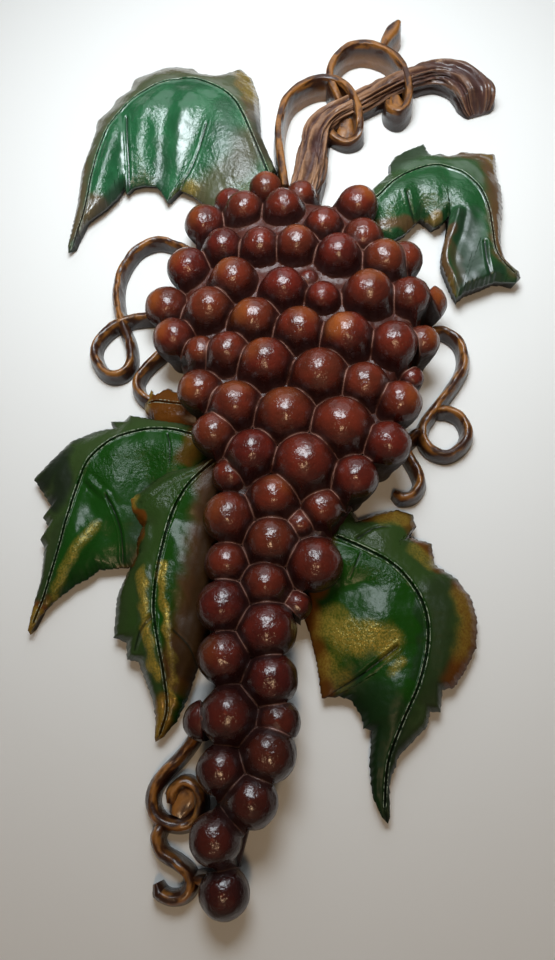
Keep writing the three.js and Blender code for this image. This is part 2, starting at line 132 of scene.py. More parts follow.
# Each leaf: its midrib as across, up and out, its tip, and its two edges as a place along the
# midrib, across, up and, where it isn't LEAF_EDGE, out. Its side veins start at places along it.
LEAVES = {
    "top_left": {
        "midrib": [
            (-20, 44, 17), (-31, 75, 18), (-46, 110, 19), (-68, 126, 20), (-90, 126.5, 20),
            (-112, 111, 20), (-128, 88, 18), (-137, 60, 16), (-142, 30, 13), (-149, 0, 7),
        ],
        "tip": (-153, -5, 4),
        "outer": [
            (0, -15, 56), (1, -26, 86), (1.5, -27, 104), (2, -28, 124), (2.3, -33, 143), (2.5, -41, 153),
            (2.9, -53, 142), (3.1, -65, 146), (3.2, -69, 144), (3.4, -75, 153), (3.8, -88, 157),
            (4.3, -104, 152), (4.7, -119, 145), (4.9, -121, 132), (5.2, -131, 126), (5.4, -134, 115),
            (5.8, -143, 104), (6.1, -143, 91), (7, -149.5, 60), (8, -150, 32), (9, -153, -1),
        ],
        "inner": [
            (0, -24, 34), (1, -45, 24), (1.5, -62, 28), (2, -72, 38), (2.3, -81, 43), (2.5, -89, 33),
            (2.9, -94, 43), (3.4, -98, 47), (4.3, -106, 48), (4.9, -113, 46), (5.2, -117, 41),
            (5.4, -119, 47), (6.1, -123, 38), (7, -131, 28), (8, -142, 18), (9, -150, 0),
        ],
        "veins": (0, 2.5, 3.6, 5.2, 8),
    },
    "top_right": {
        "midrib": [
            (50, 20, 18), (62, 32, 18), (76, 42.5, 18), (90, 46.5, 18), (104, 41.5, 18),
            (115, 30, 18), (121, 14, 17), (122, -4, 16.5), (123, -22.5, 15.5), (133, -35.5, 12),
        ],
        "tip": (138, -36.5, 8),
        "outer": [
            (0, 48, 37), (0.8, 61, 50), (1, 61, 58), (1.3, 65, 66), (1.7, 77, 73), (2, 86, 77),
            (2.2, 88, 69), (2.5, 91, 64), (2.9, 97, 67), (3.2, 102, 63), (3.6, 112, 68.5), (4, 123, 66),
            (4.4, 133, 65.5), (4.9, 132, 48), (5.3, 134, 35), (5.9, 133, 20), (6.5, 130, 4),
            (7.3, 128, -12, 8), (8, 130, -24.5, 9), (9, 137, -32.5, 10),
        ],
        "inner": [
            (0, 44, 8), (0.8, 52, -5, 10), (1, 60, -6, 10), (1.3, 68, -1, 10), (1.7, 75, 7, 10),
            (2, 79, 11, 10), (2.5, 87, 3, 10), (2.9, 92, 6, 10), (3.2, 97, 11, 12), (3.6, 97, 3, 14),
            (4, 93, -8, 15), (4.4, 89.5, -18, 15), (4.9, 88.5, -28, 14), (5.3, 92, -41.5, 13),
            (5.9, 96, -53.5, 12), (6.5, 101, -48.5, 12), (7.3, 113, -44, 12), (8, 121, -40.5, 11),
            (9, 134, -40.5, 10),
        ],
        "veins": (0, 2, 3.4, 5.9, 8),
    },
    "left_upper": {
        "midrib": [
            (-60, -146, 17), (-80, -141.5, 17), (-100, -144, 17), (-114, -152, 17), (-123, -163, 16),
            (-128, -178, 15), (-131, -193, 14), (-135, -213, 12), (-141, -236, 10), (-146, -251, 7),
        ],
        "tip": (-148, -257, 4),
        "outer": [
            (0, -62, -134), (1, -88, -131), (1.5, -103, -127), (1.6, -106, -131), (1.8, -114, -131),
            (2, -112, -136), (2.5, -124, -138), (3, -137, -144), (3.5, -148, -157), (4, -156, -167),
            (4.9, -144, -184), (5.2, -148, -191), (5.5, -144, -197), (5.9, -148, -204),
            (6.2, -145, -209), (7, -145, -228), (8, -148, -245), (9, -149, -255),
        ],
        "inner": [
            (0, -54, -158), (1, -66, -185), (2, -78, -205), (3, -86, -218), (3.5, -93, -221),
            (4.5, -101, -221), (5.5, -113, -222), (5.9, -119, -227), (6.2, -125, -230),
            (7, -137, -240), (8, -143, -247), (9, -147, -255),
        ],
        "veins": (0, 1.8, 4.5, 7.5),
    },
    "left_lower": {
        "midrib": [
            (-46, -160, 20), (-60, -174, 21), (-70, -190, 21), (-75, -208, 20), (-78, -227, 20),
            (-79, -246, 19), (-76, -263, 18), (-72.5, -279, 16), (-70.5, -296, 13), (-74, -308, 8),
        ],
        "tip": (-77, -312, 4),
        "outer": [
            (0, -50, -156, 14), (0.5, -64, -165, 14), (1, -78, -168, 15), (1.4, -88, -176, 15),
            (1.7, -99, -184, 14), (2, -97, -191, 13), (2.4, -89, -199, 13), (2.8, -92, -206, 12),
            (3.2, -92, -215, 10), (3.8, -97, -224, 8), (4.4, -102, -237), (5.2, -102, -259),
            (5.5, -95, -262), (5.9, -94, -271), (6.2, -88, -272), (6.8, -84, -281), (7.5, -79, -292),
            (8.3, -77, -302), (9, -77, -310),
        ],
        "inner": [
            (0, -40, -165, 14), (2, -45, -195, 12), (3.8, -46, -225, 10), (5.5, -50, -255, 9),
            (6.8, -57, -278), (7.5, -61, -291), (8.3, -66, -302), (9, -73, -310),
        ],
        "veins": (0, 2.4, 5.2, 8),
    },
    "right_lower": {
        "midrib": [
            (18, -208, 18), (34, -216, 18), (47, -224, 18), (57, -236, 18), (62.5, -250, 18),
            (62.5, -266, 17), (57, -285, 16), (48, -303, 14), (40, -322, 12), (37.5, -342, 8),
        ],
        "tip": (39, -350, 4),
        "outer": [
            (0, 24, -186, 10), (0.3, 31, -195), (0.6, 42, -191), (1, 52, -189), (1.4, 61, -192),
            (1.6, 62, -199), (1.8, 58, -205), (2.1, 70, -209), (2.5, 71, -221), (3, 82, -229),
            (3.5, 89, -240), (4, 91, -252), (4.6, 89, -266), (5.1, 82, -278), (5.4, 76, -286),
            (5.7, 70, -287), (6, 68, -298), (6.2, 63, -298), (6.5, 61, -305), (7.5, 46, -319),
            (8.2, 40.5, -332), (9, 40, -347),
        ],
        "inner": [
            (0, 8, -205, 10), (1, 0, -225, 9), (2.1, -1, -248), (3, 3, -260), (3.5, 6, -274),
            (4.6, 8, -291), (5.1, 17, -290), (5.4, 23, -292), (5.7, 28, -300), (6, 29, -306),
            (6.5, 33, -307), (7.5, 31, -323), (8.2, 32, -338), (9, 36, -347),
        ],
        "veins": (0, 2.1, 4.6, 7.5),
    },
}

# A torn brown scrap of leaf beside the bunch, laid out like a leaf with a short midrib.
SCRAP = {
    "midrib": ((-62, -128, 18), (-75, -124, 15), (-86, -121, 12), (-91, -121, 9)),
    "tip": (-95, -121, 6),
    "outer": (
        (0, -66, -114), (1, -76, -112), (1.5, -81, -109), (2, -88, -114), (2.5, -91, -110), (3, -93, -116),
    ),
    "inner": ((0, -60, -142), (1, -74, -140), (2, -86, -137), (2.5, -88, -131), (3, -93, -126)),
    "veins": (0, 3),
}

TENDRILS = {
    "left_ring": [
        (-66, -13), (-78, -4), (-92, 1), (-104, -3), (-112, -13), (-117, -28), (-117, -43),
        (-113, -60), (-107, -75), (-105, -89), (-109, -97), (-116, -99), (-123, -94), (-128, -83),
        (-126, -73), (-118, -64), (-106, -59), (-88, -57),
    ],
    "left_hook": [(-84, -82), (-92, -90), (-98, -98), (-100, -106), (-96, -114), (-86, -121)],
    "right_ring": [
        (76, -73), (88, -73), (96, -80), (98.5, -90), (96, -101), (87, -115), (76, -129), (70, -140),
        (73, -151), (82, -155.5), (91, -151), (96, -142), (93, -132), (86, -127.5), (78, -127),
    ],
    "right_link": [(52, -150), (60, -148), (66, -142), (71, -141)],
    "right_hook": [
        (59, -147), (60.5, -155), (65, -165), (66.5, -173), (62, -180), (56, -181.5), (51.5, -178),
    ],
    "lower_ring": [
        (-55, -303), (-58, -311.5), (-64, -319.5), (-71, -326.5), (-76, -334), (-76.5, -342), (-71.5, -349),
        (-62.5, -351), (-55, -348), (-52.5, -341), (-55, -334), (-61, -331), (-66.5, -335.5), (-67.5, -341),
    ],
    "lower_hook": [
        (-71, -349), (-73.5, -357), (-70.5, -363), (-63.5, -367), (-57.5, -371.5), (-56, -377),
        (-59.5, -381.5),
        (-65.5, -382.5), (-70.5, -380.5), (-72.5, -376),
    ],
    "lower_link": [(-56, -374), (-44, -374)],
}

# The two curls wind round the stem as narrow bands on edge: across, up and, where it isn't CURL_OUT, out.
CURLS = {
    "first": [
        (-9, 34), (-12, 60), (-13.5, 85), (-9, 110), (2, 124), (18, 130.5), (32, 124), (40, 108),
        (42, 92, 18), (41, 84, 13), (34, 81, 9), (26, 85, 9), (20, 92, 10),
    ],
    "second": [
        (30, 112, 14), (23, 130, 18), (25, 145), (34, 158), (48, 162.5), (63, 156), (73, 143),
        (77, 125), (76, 108, 18), (70, 99, 17), (64, 103, 16), (63, 111, 14),
    ],
}

# The curls and the lower ring close to shallow cups, and a blade stands behind the second curl.
CUPS = [
    [(33, 100, 9, 8), (33, 92, 7, 8), (32, 84, 5, 6)],
    [(-57, -331, 7, 4), (-60.5, -339, 6.5, 7.5), (-64, -347, 6, 4)],
    [(68, 116, 13, 5), (69, 107, 12, 8), (69, 100, 11, 6)],
]
BLADE = [(61, 160, 16, 3), (65, 170, 17, 4.5), (70, 179, 17, 5.5), (74, 186, 16, 2.5)]

# The stem: across, up, out, half width. Less gold is rubbed on towards its cut end, between these
# two places across, in metres.
BARE_END = (0.085, 0.055)
STEM = [
    (-1, 8, 22, 9), (3, 30, 19, 9.5), (7, 50, 18, 10), (9.5, 70, 17, 9.5), (13, 88, 16, 9),
    (22, 101, 15, 8), (35, 109, 15, 7), (50, 118, 16, 7), (65, 127, 17, 7), (80, 134, 17, 7),
    (95, 138.5, 17, 7.5), (106.5, 137, 18, 9), (116, 131.5, 18, 10.5), (122, 123.5, 18, 11.8),
    (125, 117, 17.5, 12.4),
    (126.2, 113, 14.5, 11.6), (127, 109.5, 8, 9.6), (127.6, 107.5, 3, 7),
]

# ------------------------------------------------------------------ veins, folds and paint

# Lines on a leaf: the points it runs through, its half width and how far it rises or sinks.
RELIEF = {
    "top_left": [
        ([(-117, 92), (-116, 77), (-115, 61), (-115, 45), (-114, 36)], 1.0, -1.0),
        ([(-62, 84), (-66, 70), (-73, 54), (-83, 40), (-87, 34)], 1.0, -1.1),
        ([(-93, 88), (-93, 62), (-94, 42)], 8, -2.6),
        ([(-106, 95), (-105, 67), (-104, 46)], 8, 2.4),
        ([(-124, 92), (-127, 68), (-134, 40)], 5, 1.8),
        ([(-50, 98), (-58, 72), (-74, 48)], 10, 2.2),
        ([(-44, 84), (-60, 94), (-80, 98), (-102, 96), (-120, 84)], 24, 6.5),
    ],
    "top_right": [
        ([(69, 21), (72, 11), (77, 2)], 1.2, -1.4),
        ([(101, 8), (98, -4), (93, -18), (92, -30), (95, -44)], 2.8, 3.0),
        ([(106, 8), (104, -14), (105, -34), (106, -46)], 11, -3.5),
        ([(92, -44), (104, -42), (118, -40)], 13, 5.0),
        ([(116, -15), (116, -29), (118, -41)], 1.2, -1.3),
        ([(56, 16), (70, 26), (88, 27)], 13, 5.0),
        ([(111, 18), (109, -8), (107, -32)], 8, 0.5),
    ],
    "left_upper": [
        ([(-121, -172), (-115, -178), (-109, -183)], 1.8, 1.3),
        ([(-110, -182), (-105, -191), (-101, -202), (-100, -213), (-100, -222)], 0.9, -0.9),
        ([(-77, -146), (-75, -154), (-75, -164)], 0.8, -0.8),
        ([(-117, -161), (-105, -154), (-87, -151), (-70, -153)], 8, 2.8),
        ([(-116, -200), (-124, -213), (-133, -235)], 4.5, 1.5),
        ([(-90, -178), (-95, -190), (-93, -212)], 11, -2.4),
    ],
    "left_lower": [
        ([(-51, -163), (-64, -170), (-77, -176), (-89, -185)], 1.6, 1.3),
        ([(-80, -251), (-86, -258), (-89, -267)], 1.4, -1.3),
        ([(-68, -258), (-60, -266), (-56, -277)], 0.8, -0.7),
        ([(-86, -226), (-85, -241), (-81, -265), (-76, -282)], 3.2, 1.1),
        ([(-75, -225), (-73, -245), (-69, -265), (-67, -288)], 3.0, 1.0),
        ([(-88, -194), (-86, -206), (-90, -220)], 3.4, 1.4),
    ],
    "right_lower": [
        ([(47, -267), (36, -275), (26, -282), (14, -288)], 1.1, -1.4),
        ([(29, -209), (38, -203), (46, -202)], 1.0, -1.2),
        ([(30, -218), (24, -231)], 0.7, -0.6),
        ([(28, -226), (41, -227), (52, -232)], 8, 1.5),
        ([(78, -236), (80, -262)], 10, 1.0),
        ([(66, -262), (62, -284), (52, -304)], 5, -1.0),
    ],
    "scrap": [([(-70, -126), (-84, -128)], 2.0, 1.2)],
}

# What is done to a leaf: a line or a spot, how far it reaches, and its strength. Gold is airbrushed
# gilding, and on the ridges and patches of the lower leaves also a painted warm reflection; brown is
# airbrushed; dark is darker paint that stands partly for shade in grooves and low places; beaten places
# are hammered and take the light broadly.
PAINT = {
    "top_left": {
        "gold": [([(-37, 142), (-33, 118)], 9, 0.75), ([(-82, 35), (-72, 42)], 6, 0.8)],
        "brown": [
            (
                [
                    (-44, 148), (-56, 140), (-68, 143), (-90, 148), (-108, 142), (-122, 128), (-133, 112),
                    (-142, 92),
                ],
                15, 0.5,
            ),
            ([(-40, 142), (-34, 120), (-30, 95)], 8, 0.95), ([(-148, 70), (-150, 10)], 8, 0.7),
            ([(-70, 34), (-56, 40), (-38, 52), (-32, 70)], 17, 0.6), ([(-136, 30), (-148, 8)], 9, 0.8),
        ],
        "dark": [
            ([(-93, 74), (-93, 46)], 6, 0.35), ([(-119, 46), (-132, 27), (-148, 2)], 4, 0.7),
            ([(-28, 96), (-24, 60)], 6, 0.6), ([(-48, 74), (-38, 50)], 14, 0.35),
        ],
        "beaten": [
            ([(-108, 96), (-105, 46)], 11, 1.0), ([(-58, 92), (-62, 60), (-78, 40)], 16, 1.0),
            ([(-40, 86), (-36, 48)], 15, 1.0), ([(-124, 80), (-134, 36)], 5, 1.0),
            ([(-93, 96), (-93, 46)], 8, 0.7),
            ([(-52, 140), (-90, 146), (-122, 126), (-140, 95)], 7, 0.5),
        ],
    },
    "top_right": {
        "gold": [
            ([(126, 62), (132, 46)], 5, 0.3), ([(92, -42), (95, -50)], 3, 0.5), ([(80, 8), (88, 8)], 3, 0.4),
        ],
        "brown": [
            ([(103, 66), (118, 64), (127, 56), (131, 40), (131, 20), (130, -5), (130, -22)], 13, 0.95),
            ([(97, -4), (90, -18), (89, -32), (94, -48)], 4, 0.95), ([(96, -16), (99, -42)], 5, 0.5),
            ([(50, 2), (74, 4), (88, 8)], 5, 0.7), ([(130, -34), (136, -36)], 5, 0.5),
        ],
        "dark": [
            ([(104, 12), (103, -12)], 4, 0.3), ([(62, 52), (86, 68)], 9, 0.55),
            ([(114, -44), (117, -20)], 3, 0.5),
            ([(104, -38), (122, -36)], 7, 0.5), ([(106, 2), (105, -44)], 12, 0.75),
        ],
        "beaten": [([(52, 10), (70, 20), (88, 24), (98, 18)], 16, 1.0), ([(76, 6), (92, 10)], 9, 1.0)],
    },
    "left_upper": {
        # The gold along the lower vein is a painted warm reflection; the gold at the tip is gilding.
        "gold": [
            ([(-115, -199), (-124, -211), (-131, -224), (-137, -238)], 3.4, 0.6),
            ([(-145, -246), (-148, -256)], 4, 0.9),
        ],
        "brown": [
            ([(-143, -242), (-148, -256)], 6, 0.9), ([(-60, -142), (-66, -160)], 8, 0.6),
            ([(-94, -221), (-101, -222)], 4, 0.5), ([(-82, -192), (-84, -205), (-90, -218)], 6, 0.7),
        ],
        "dark": [
            ([(-148, -170), (-140, -156), (-136, -174), (-140, -184)], 8, 0.95),
            ([(-112, -134), (-132, -144)], 5, 0.4),
            ([(-84, -180), (-90, -200), (-94, -216)], 10, 0.5), ([(-134, -196), (-142, -236)], 5, 0.35),
        ],
        "beaten": [
            ([(-116, -166), (-104, -162), (-87, -160), (-74, -158)], 14, 1.0),
            ([(-116, -200), (-132, -228)], 5, 0.8),
        ],
    },
    "left_lower": {
        # The gold streaks along the two ridges are a painted warm reflection; the gold at the tip is gilding.
        "gold": [
            ([(-87, -226), (-85, -241), (-81, -265), (-76, -282)], 2.6, 1.0),
            ([(-93, -187), (-95, -184)], 2.5, 0.7),
            ([(-76, -222), (-75, -237), (-71, -258), (-67, -277), (-68, -292)], 2.2, 1.0),
            ([(-72, -294), (-76, -310)], 5, 0.7),
        ],
        "brown": [
            ([(-44, -172), (-48, -200), (-52, -235), (-60, -275)], 17, 0.95),
            ([(-72, -294), (-76, -312)], 7, 0.8),
            ([(-96, -186), (-90, -192), (-90, -206), (-94, -220)], 3.4, 0.95),
        ],
        "dark": [
            ([(-92, -206), (-96, -222)], 3, 0.6),
            ([(-44, -172), (-48, -200), (-52, -235), (-60, -275)], 16, 0.85),
        ],
        "beaten": [
            ([(-52, -166), (-64, -176), (-84, -184)], 10, 1.0), ([(-86, -226), (-78, -278)], 5, 0.9),
            ([(-74, -225), (-68, -288)], 4, 0.9),
        ],
    },
    "right_lower": {
        # The first three gold strokes, the broad patch, are a painted warm reflection; the rest is gilding.
        "gold": [
            ([(14, -254), (22, -262), (32, -262), (40, -264)], 10, 0.95), ([(12, -274), (18, -282)], 7, 0.8),
            ([(44, -279), (49, -274)], 3, 0.6),
            ([(81, -240), (84, -254), (80, -268)], 6, 0.5), ([(42, -196), (56, -196)], 5, 0.5),
            ([(60, -214), (67, -221)], 5, 0.6),
        ],
        "brown": [
            ([(0, -235), (3, -262), (9, -288)], 8, 0.95),
            ([(84, -236), (88, -252), (84, -270), (76, -282)], 9, 0.85),
            ([(34, -194), (56, -193), (64, -208), (74, -222)], 6, 0.8), ([(12, -212), (8, -235)], 7, 0.8),
        ],
        "dark": [
            ([(16, -205), (30, -205)], 6, 0.4), ([(42, -325), (38, -348)], 7, 0.7),
            ([(24, -290), (40, -302), (38, -330)], 18, 0.7),
            ([(70, -238), (70, -262), (62, -290)], 10, 0.5), ([(59, -240), (60, -262), (55, -282)], 3, 0.5),
        ],
        "beaten": [
            ([(18, -204), (31, -209), (39, -212)], 6, 1.0), ([(28, -222), (48, -230)], 9, 1.0),
            ([(20, -264), (40, -264)], 14, 1.0),
        ],
    },
    "scrap": {
        "gold": [([(-92, -114), (-94, -124)], 4, 0.8)],
        "brown": [([(-66, -126), (-92, -120)], 30, 1.0)],
        "dark": [([(-64, -130)], 7, 0.4)],
        "beaten": [([(-70, -126), (-84, -128)], 8, 0.8)],
    },
}

# How far each leaf's green leans from a cool green towards a dark olive; the lower leaves' darker, yellower
# green stands partly for the dimmer, warmer light on them.
OLIVE = {
    "top_left": 0.22, "top_right": 0.6, "left_upper": 0.95, "left_lower": 1.0, "right_lower": 1.0,
    "scrap": 1.0,
}

# How far the green gives way to umber between the midrib and the outer edge.
MARGIN_TONE = {
    "top_left": 0.85, "top_right": 0.3, "left_upper": 0.35, "left_lower": 0.25, "right_lower": 0.3,
    "scrap": 0.0,
}

# How each kind of strip is swept. Lengths are in metres.
STEM_STRIP = {
    "Step": 0.0009, "Sides": 65, "Squareness": 0.55, "Groove count": 15.0, "Groove length": 0.045,
    "Groove sharpness": 0.8, "Seed": 3.0,
}
CURL_STRIP = {
    "Step": 0.0009, "Sides": 25, "Squareness": 0.35, "Groove depth": 0.0008, "Groove count": 4.0,
    "Groove length": 0.02, "Groove sharpness": 1.0, "Seed": 8.0,
}
TENDRIL_STRIP = {
    "Step": 0.0009, "Sides": 21, "Squareness": 0.75, "Groove depth": 0.0007, "Groove count": 3.0,
    "Groove length": 0.012, "Groove sharpness": 1.0, "Seed": 5.0,
}
TENDRIL_TAPER = (4, 0.45, 0.75)  # the length of a tendril's narrowing end, and its width and height there

# The stage, in metres: the wall just behind the plaque's back, the floor well below it, and the camera.
WALL_FACE = 0.0006
WALL_HALF, WALL_TOP, FLOOR_LEVEL, FLOOR_FRONT = 3, 2.2, -1.8, -4
CAMERA_PLACE = (0.00199, -0.420, -0.33708)
CAMERA_SENSOR = 36.0

# The lamps: place, what each points at, size and tint.
LAMPS = {
    "cool": ((-0.03, -0.55, 0.08), (0.0, 0.0, 0.1), 0.33, (0.86, 0.94, 1.0)),
    "warm": ((0.05, -2.15, -1.34), (0.0, 0.0, -0.1), 0.4, (1.0, 0.7, 0.42)),
    "sky": ((0.0, -0.8, 0.85), (0.0, 0.0, 0.0), 1.1, (0.88, 0.94, 1.0)),
}
COOL_SPREAD = math.radians(118)


# ------------------------------------------------------------------ sums on the tables


def srgb(*shades):
    """A screen colour, each shade 0 to 255, as the linear colour that a shader takes."""
    return tuple(((c / 255 + 0.055) / 1.055) ** 2.4 if c > 10 else c / 255 / 12.92 for c in shades) + (1.0,)


def blend(value, low, high):
    """0 below low, 1 above high, and a soft slope between."""
    part = np.clip((np.asarray(value, float) - low) / (high - low), 0, 1)
    return part * part * (3 - 2 * part)


def hump(far, spread=1.0):
    """1 on a line, falling softly to 0 on both sides of it."""
    return np.exp(-(far**2) / spread)


def smooth(rows, place):
    """Reads rows along a smooth curve, at places counted in rows."""
    rows = np.asarray(rows, float)
    place = np.asarray(place, float)
    index = np.clip(np.floor(place).astype(int), 0, len(rows) - 2)
    part = (place - index)[..., None]
    start, end = rows[index], rows[index + 1]
    before, after = rows[np.maximum(index - 1, 0)], rows[np.minimum(index + 2, len(rows) - 1)]
    leave, arrive, gap = (end - before) / 2, (after - start) / 2, end - start
    cubic = leave + arrive - 2 * gap
    square = 3 * gap - 2 * leave - arrive
    return start + part * (leave + part * (square + part * cubic))


def ripple(points, size, seed):
    """Soft random waves of about the given size, mostly between -1 and 1."""
    draw = np.random.default_rng(seed)
    total = np.zeros(points.shape[:-1])
    for _ in range(WAVES):
        way = draw.normal(size=points.shape[-1])
        way *= 2 * np.pi / (size * draw.uniform(0.7, 1.5) * np.linalg.norm(way))
        total += np.sin(points @ way + draw.uniform(0, 6.28))
    return total / WAVES_REACH


def line_distance(points, line):
    """How far each point [across, up] is from a line of points, and how far along it, 0 to 1."""
    line = np.asarray(line, float)
    if len(line) == 1:
        return np.linalg.norm(points - line[0], axis=-1), np.full(points.shape[:-1], 0.5)
    best = np.full(points.shape[:-1], 1e9)
    along = np.zeros(points.shape[:-1])
    for i, (a, b) in enumerate(zip(line[:-1], line[1:])):
        part = np.clip(((points - a) @ (b - a)) / ((b - a) @ (b - a)), 0, 1)
        far = np.linalg.norm(points - (a + part[..., None] * (b - a)), axis=-1)
        near = far < best
        best[near] = far[near]
        along[near] = ((i + part) / (len(line) - 1))[near]
    return best, along


# ------------------------------------------------------------------ meshes


def link(name, data):
    """Puts a new object into the scene."""
    made = bpy.data.objects.new(name, data)
    bpy.context.scene.collection.objects.link(made)
    return made


def make_piece(name, points, faces, finish, channels, sharp=None):
    """A mesh object from places [across, up, out] in millimetres, with named point values."""
    points = np.asarray(points, float)
    mesh = bpy.data.meshes.new(name)
    mesh.vertices.add(len(points))
    placed = np.stack([points[:, 0], -points[:, 2], points[:, 1]], axis=1) * MM
    mesh.vertices.foreach_set("co", placed.astype(np.float32).ravel())
    sizes = np.array([len(face) for face in faces], np.int32)
    mesh.loops.add(int(sizes.sum()))
    mesh.loops.foreach_set("vertex_index", np.concatenate([np.asarray(f, np.int32) for f in faces]))
    mesh.polygons.add(len(faces))
    mesh.polygons.foreach_set("loop_start", np.concatenate([[0], np.cumsum(sizes)[:-1]]).astype(np.int32))
    mesh.update(calc_edges=True)
    mesh.validate()
    mesh.polygons.foreach_set("use_smooth", np.ones(len(mesh.polygons), bool))
    for channel, values in channels.items():
        layer = mesh.attributes.new(channel, "FLOAT", "POINT")
        layer.data.foreach_set("value", np.asarray(values, np.float32))
    if sharp is not None:
        cut = np.zeros(len(points), bool)
        cut[sharp] = True
        ends = np.zeros(len(mesh.edges) * 2, np.int32)
        mesh.edges.foreach_get("vertices", ends)
        mesh.edges.foreach_set("use_edge_sharp", cut[ends.reshape(-1, 2)].all(axis=1))
    mesh.materials.append(finish)
    return link(name, mesh)


def outward(piece):
    """Turns a closed body's faces outwards."""
    work = bmesh.new()
    work.from_mesh(piece.data)
    bmesh.ops.recalc_face_normals(work, faces=work.faces)
    if work.calc_volume(signed=True) < 0:
        bmesh.ops.reverse_faces(work, faces=work.faces)
    work.to_mesh(piece.data)
    work.free()
    return piece


def hand_over(piece):
    """Sets a finished piece on the frame in place of the plain moulding."""
    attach(piece, "root")
    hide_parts("plaque")


def strips(rows, columns, start, closed):
    """Quads that join rows of places, each row columns long, from a first index."""
    last = columns if closed else columns - 1
    i = np.arange(rows - 1)[:, None] * columns
    j = np.arange(last)[None, :]
    k = (j + 1) % columns
    quads = np.stack([i + j, i + k, i + columns + k, i + columns + j], axis=-1).reshape(-1, 4) + start
    return [tuple(quad) for quad in quads]


# ------------------------------------------------------------------ grapes


def tail_axis(z):
    """Where the middle of the tail is across, at a height."""
    return TAIL["x"] - (TAIL["z"] - z) * TAIL["lean"]


def grape_out(x, z):
    """How far the middles of the grapes stand off the wall at a place."""
    dome = 1 - ((x - DOME["x"]) / DOME["half_width"]) ** 2 - ((z - DOME["z"]) / DOME["half_height"]) ** 2
    across = np.sqrt(np.maximum(1 - ((x - tail_axis(z)) / TAIL["half_width"]) ** 2, 0))
    starts = np.clip((TAIL["top"] - z) / TAIL["run"], 0, 1)
    ends = np.clip((z - TAIL["foot"]) / TAIL["run"], 0, 1)
    ridge = TAIL["rise"] * across * starts * ends
    return GRAPE_BASE + np.maximum(DOME["rise"] * np.sqrt(np.maximum(dome, 0)), ridge)


TOPS = grape_out(GRAPES[:, 0], GRAPES[:, 1]) - GRAPES[:, 3] + GRAPES[:, 2]


def filling_sides(z):
    """The left and right edges of the filling at a height."""
    order = np.argsort(FILLING[:, 0])
    return tuple(np.interp(z, FILLING[order, 0], FILLING[order, k]) for k in (1, 2))


def filling_out(x, z):
    """How far the filling between the grapes stands off the wall; it falls away at its edges."""
    left, right = filling_sides(z)
    inset = np.minimum(np.minimum(x - left, right - x), np.minimum(z - FILLING[-1, 0], FILLING[0, 0] - z))
    return np.where(inset > 0, (grape_out(x, z) + FILLING_LIFT) * (0.6 + 0.4 * blend(inset, 0, 8)), -50.0)


def ball_drop(reach):
    """How far a ball of radius 1 falls away from its front; past its shoulder it runs on as a cone."""
    shoulder = STEEP / math.hypot(1, STEEP)
    ball = 1 - np.sqrt(np.maximum(1 - np.minimum(reach, shoulder) ** 2, 0))
    return ball + STEEP * np.maximum(reach - shoulder, 0)


def grape_front(i, x, z):
    """How far one grape's front stands off the wall at a place."""
    radius = GRAPES[i, 2]
    reach = np.hypot(x - GRAPES[i, 0], z - GRAPES[i, 1]) / radius
    return TOPS[i] - radius * ball_drop(reach)


def bunch_front(x, z, near, softness):
    """The front of the grapes together, rounded in the creases where they meet."""
    fronts = np.stack([grape_front(j, x, z) for j in near] + [filling_out(x, z)])
    most = fronts.max(axis=0)
    return most + softness * np.log(np.exp((fronts - most) / softness).sum(axis=0))


def bloom_on(i, normals):
    """The orange bloom on one grape, from the way its surface faces."""
    value = np.zeros(normals.shape[:-1])
    for x, z, (across, up), strength in BLOOMS:
        if abs(GRAPES[i, 0] - x) + abs(GRAPES[i, 1] - z) < 2:
            towards = np.array([across, up, 0.75])
            towards /= np.linalg.norm(towards)
            value = np.maximum(value, strength * blend(normals @ towards, 0.55, 1.0))
    return value


def grape_rim(i, near, flat):
    """Where a grape ends, each way round: its reach in radii, whether it meets another, how free it is."""
    x0, z0, radius, _ = GRAPES[i]
    turns = len(flat)
    tries = np.linspace(0.15, 1.5, 160)
    x = x0 + radius * tries[None, :] * flat[:, :1]
    z = z0 + radius * tries[None, :] * flat[:, 1:]
    filling = filling_out(x, z)
    rival = np.max([filling] + [grape_front(j, x, z) for j in near if j != i], axis=0)
    lead = grape_front(i, x, z) - rival
    beaten = (lead < 0) & ((tries[None, :] < 1.0) | (filling > 0))
    meets = beaten.any(axis=1)
    first = np.where(meets, beaten.argmax(axis=1), len(tries) - 1)
    back = np.maximum(first - 1, 0)
    line = np.arange(turns)
    part = lead[line, back] / np.maximum(lead[line, back] - lead[line, first], 1e-6)
    crossing = tries[back] + np.clip(part, 0, 1) * (tries[first] - tries[back])
    reach_end = np.where(meets, crossing, FREE_RIM)
    apart = np.abs((line[:, None] - np.flatnonzero(meets)[None, :] + turns // 2) % turns - turns // 2)
    free = np.clip(apart.min(axis=1) / 3, 0, 1) if meets.any() else np.ones(turns)
    return reach_end, meets, free


def grape_walls(i, edge, flat, open_wall):
    """The rings of a grape's side wall; under a free rim they fall back towards the bunch."""
    x0, z0, radius, _ = GRAPES[i]
    wide_top = np.linalg.norm(edge[:, :2] - [x0, z0], axis=1)
    on_tail = z0 < TAIL["top"]
    inward = np.array([(tail_axis(z0) if on_tail else 0.4 * x0) - x0, 0 if on_tail else (-90 - z0) * 0.3])
    inward = inward / max(np.linalg.norm(inward), 1.0) * radius * 0.25
    walls = []
    for drop, under in GRAPE_WALLS:
        wide = np.where(open_wall, wide_top - under * radius, wide_top - 0.2)
        low = np.where(open_wall, edge[:, 2] * drop, edge[:, 2] * drop + 2 * (1 - drop))
        shift = inward[None, :] * (under / GRAPE_WALLS[-1][1]) * open_wall[:, None]
        walls.append(np.column_stack([np.array([x0, z0]) + wide[:, None] * flat + shift, low]))
    return walls


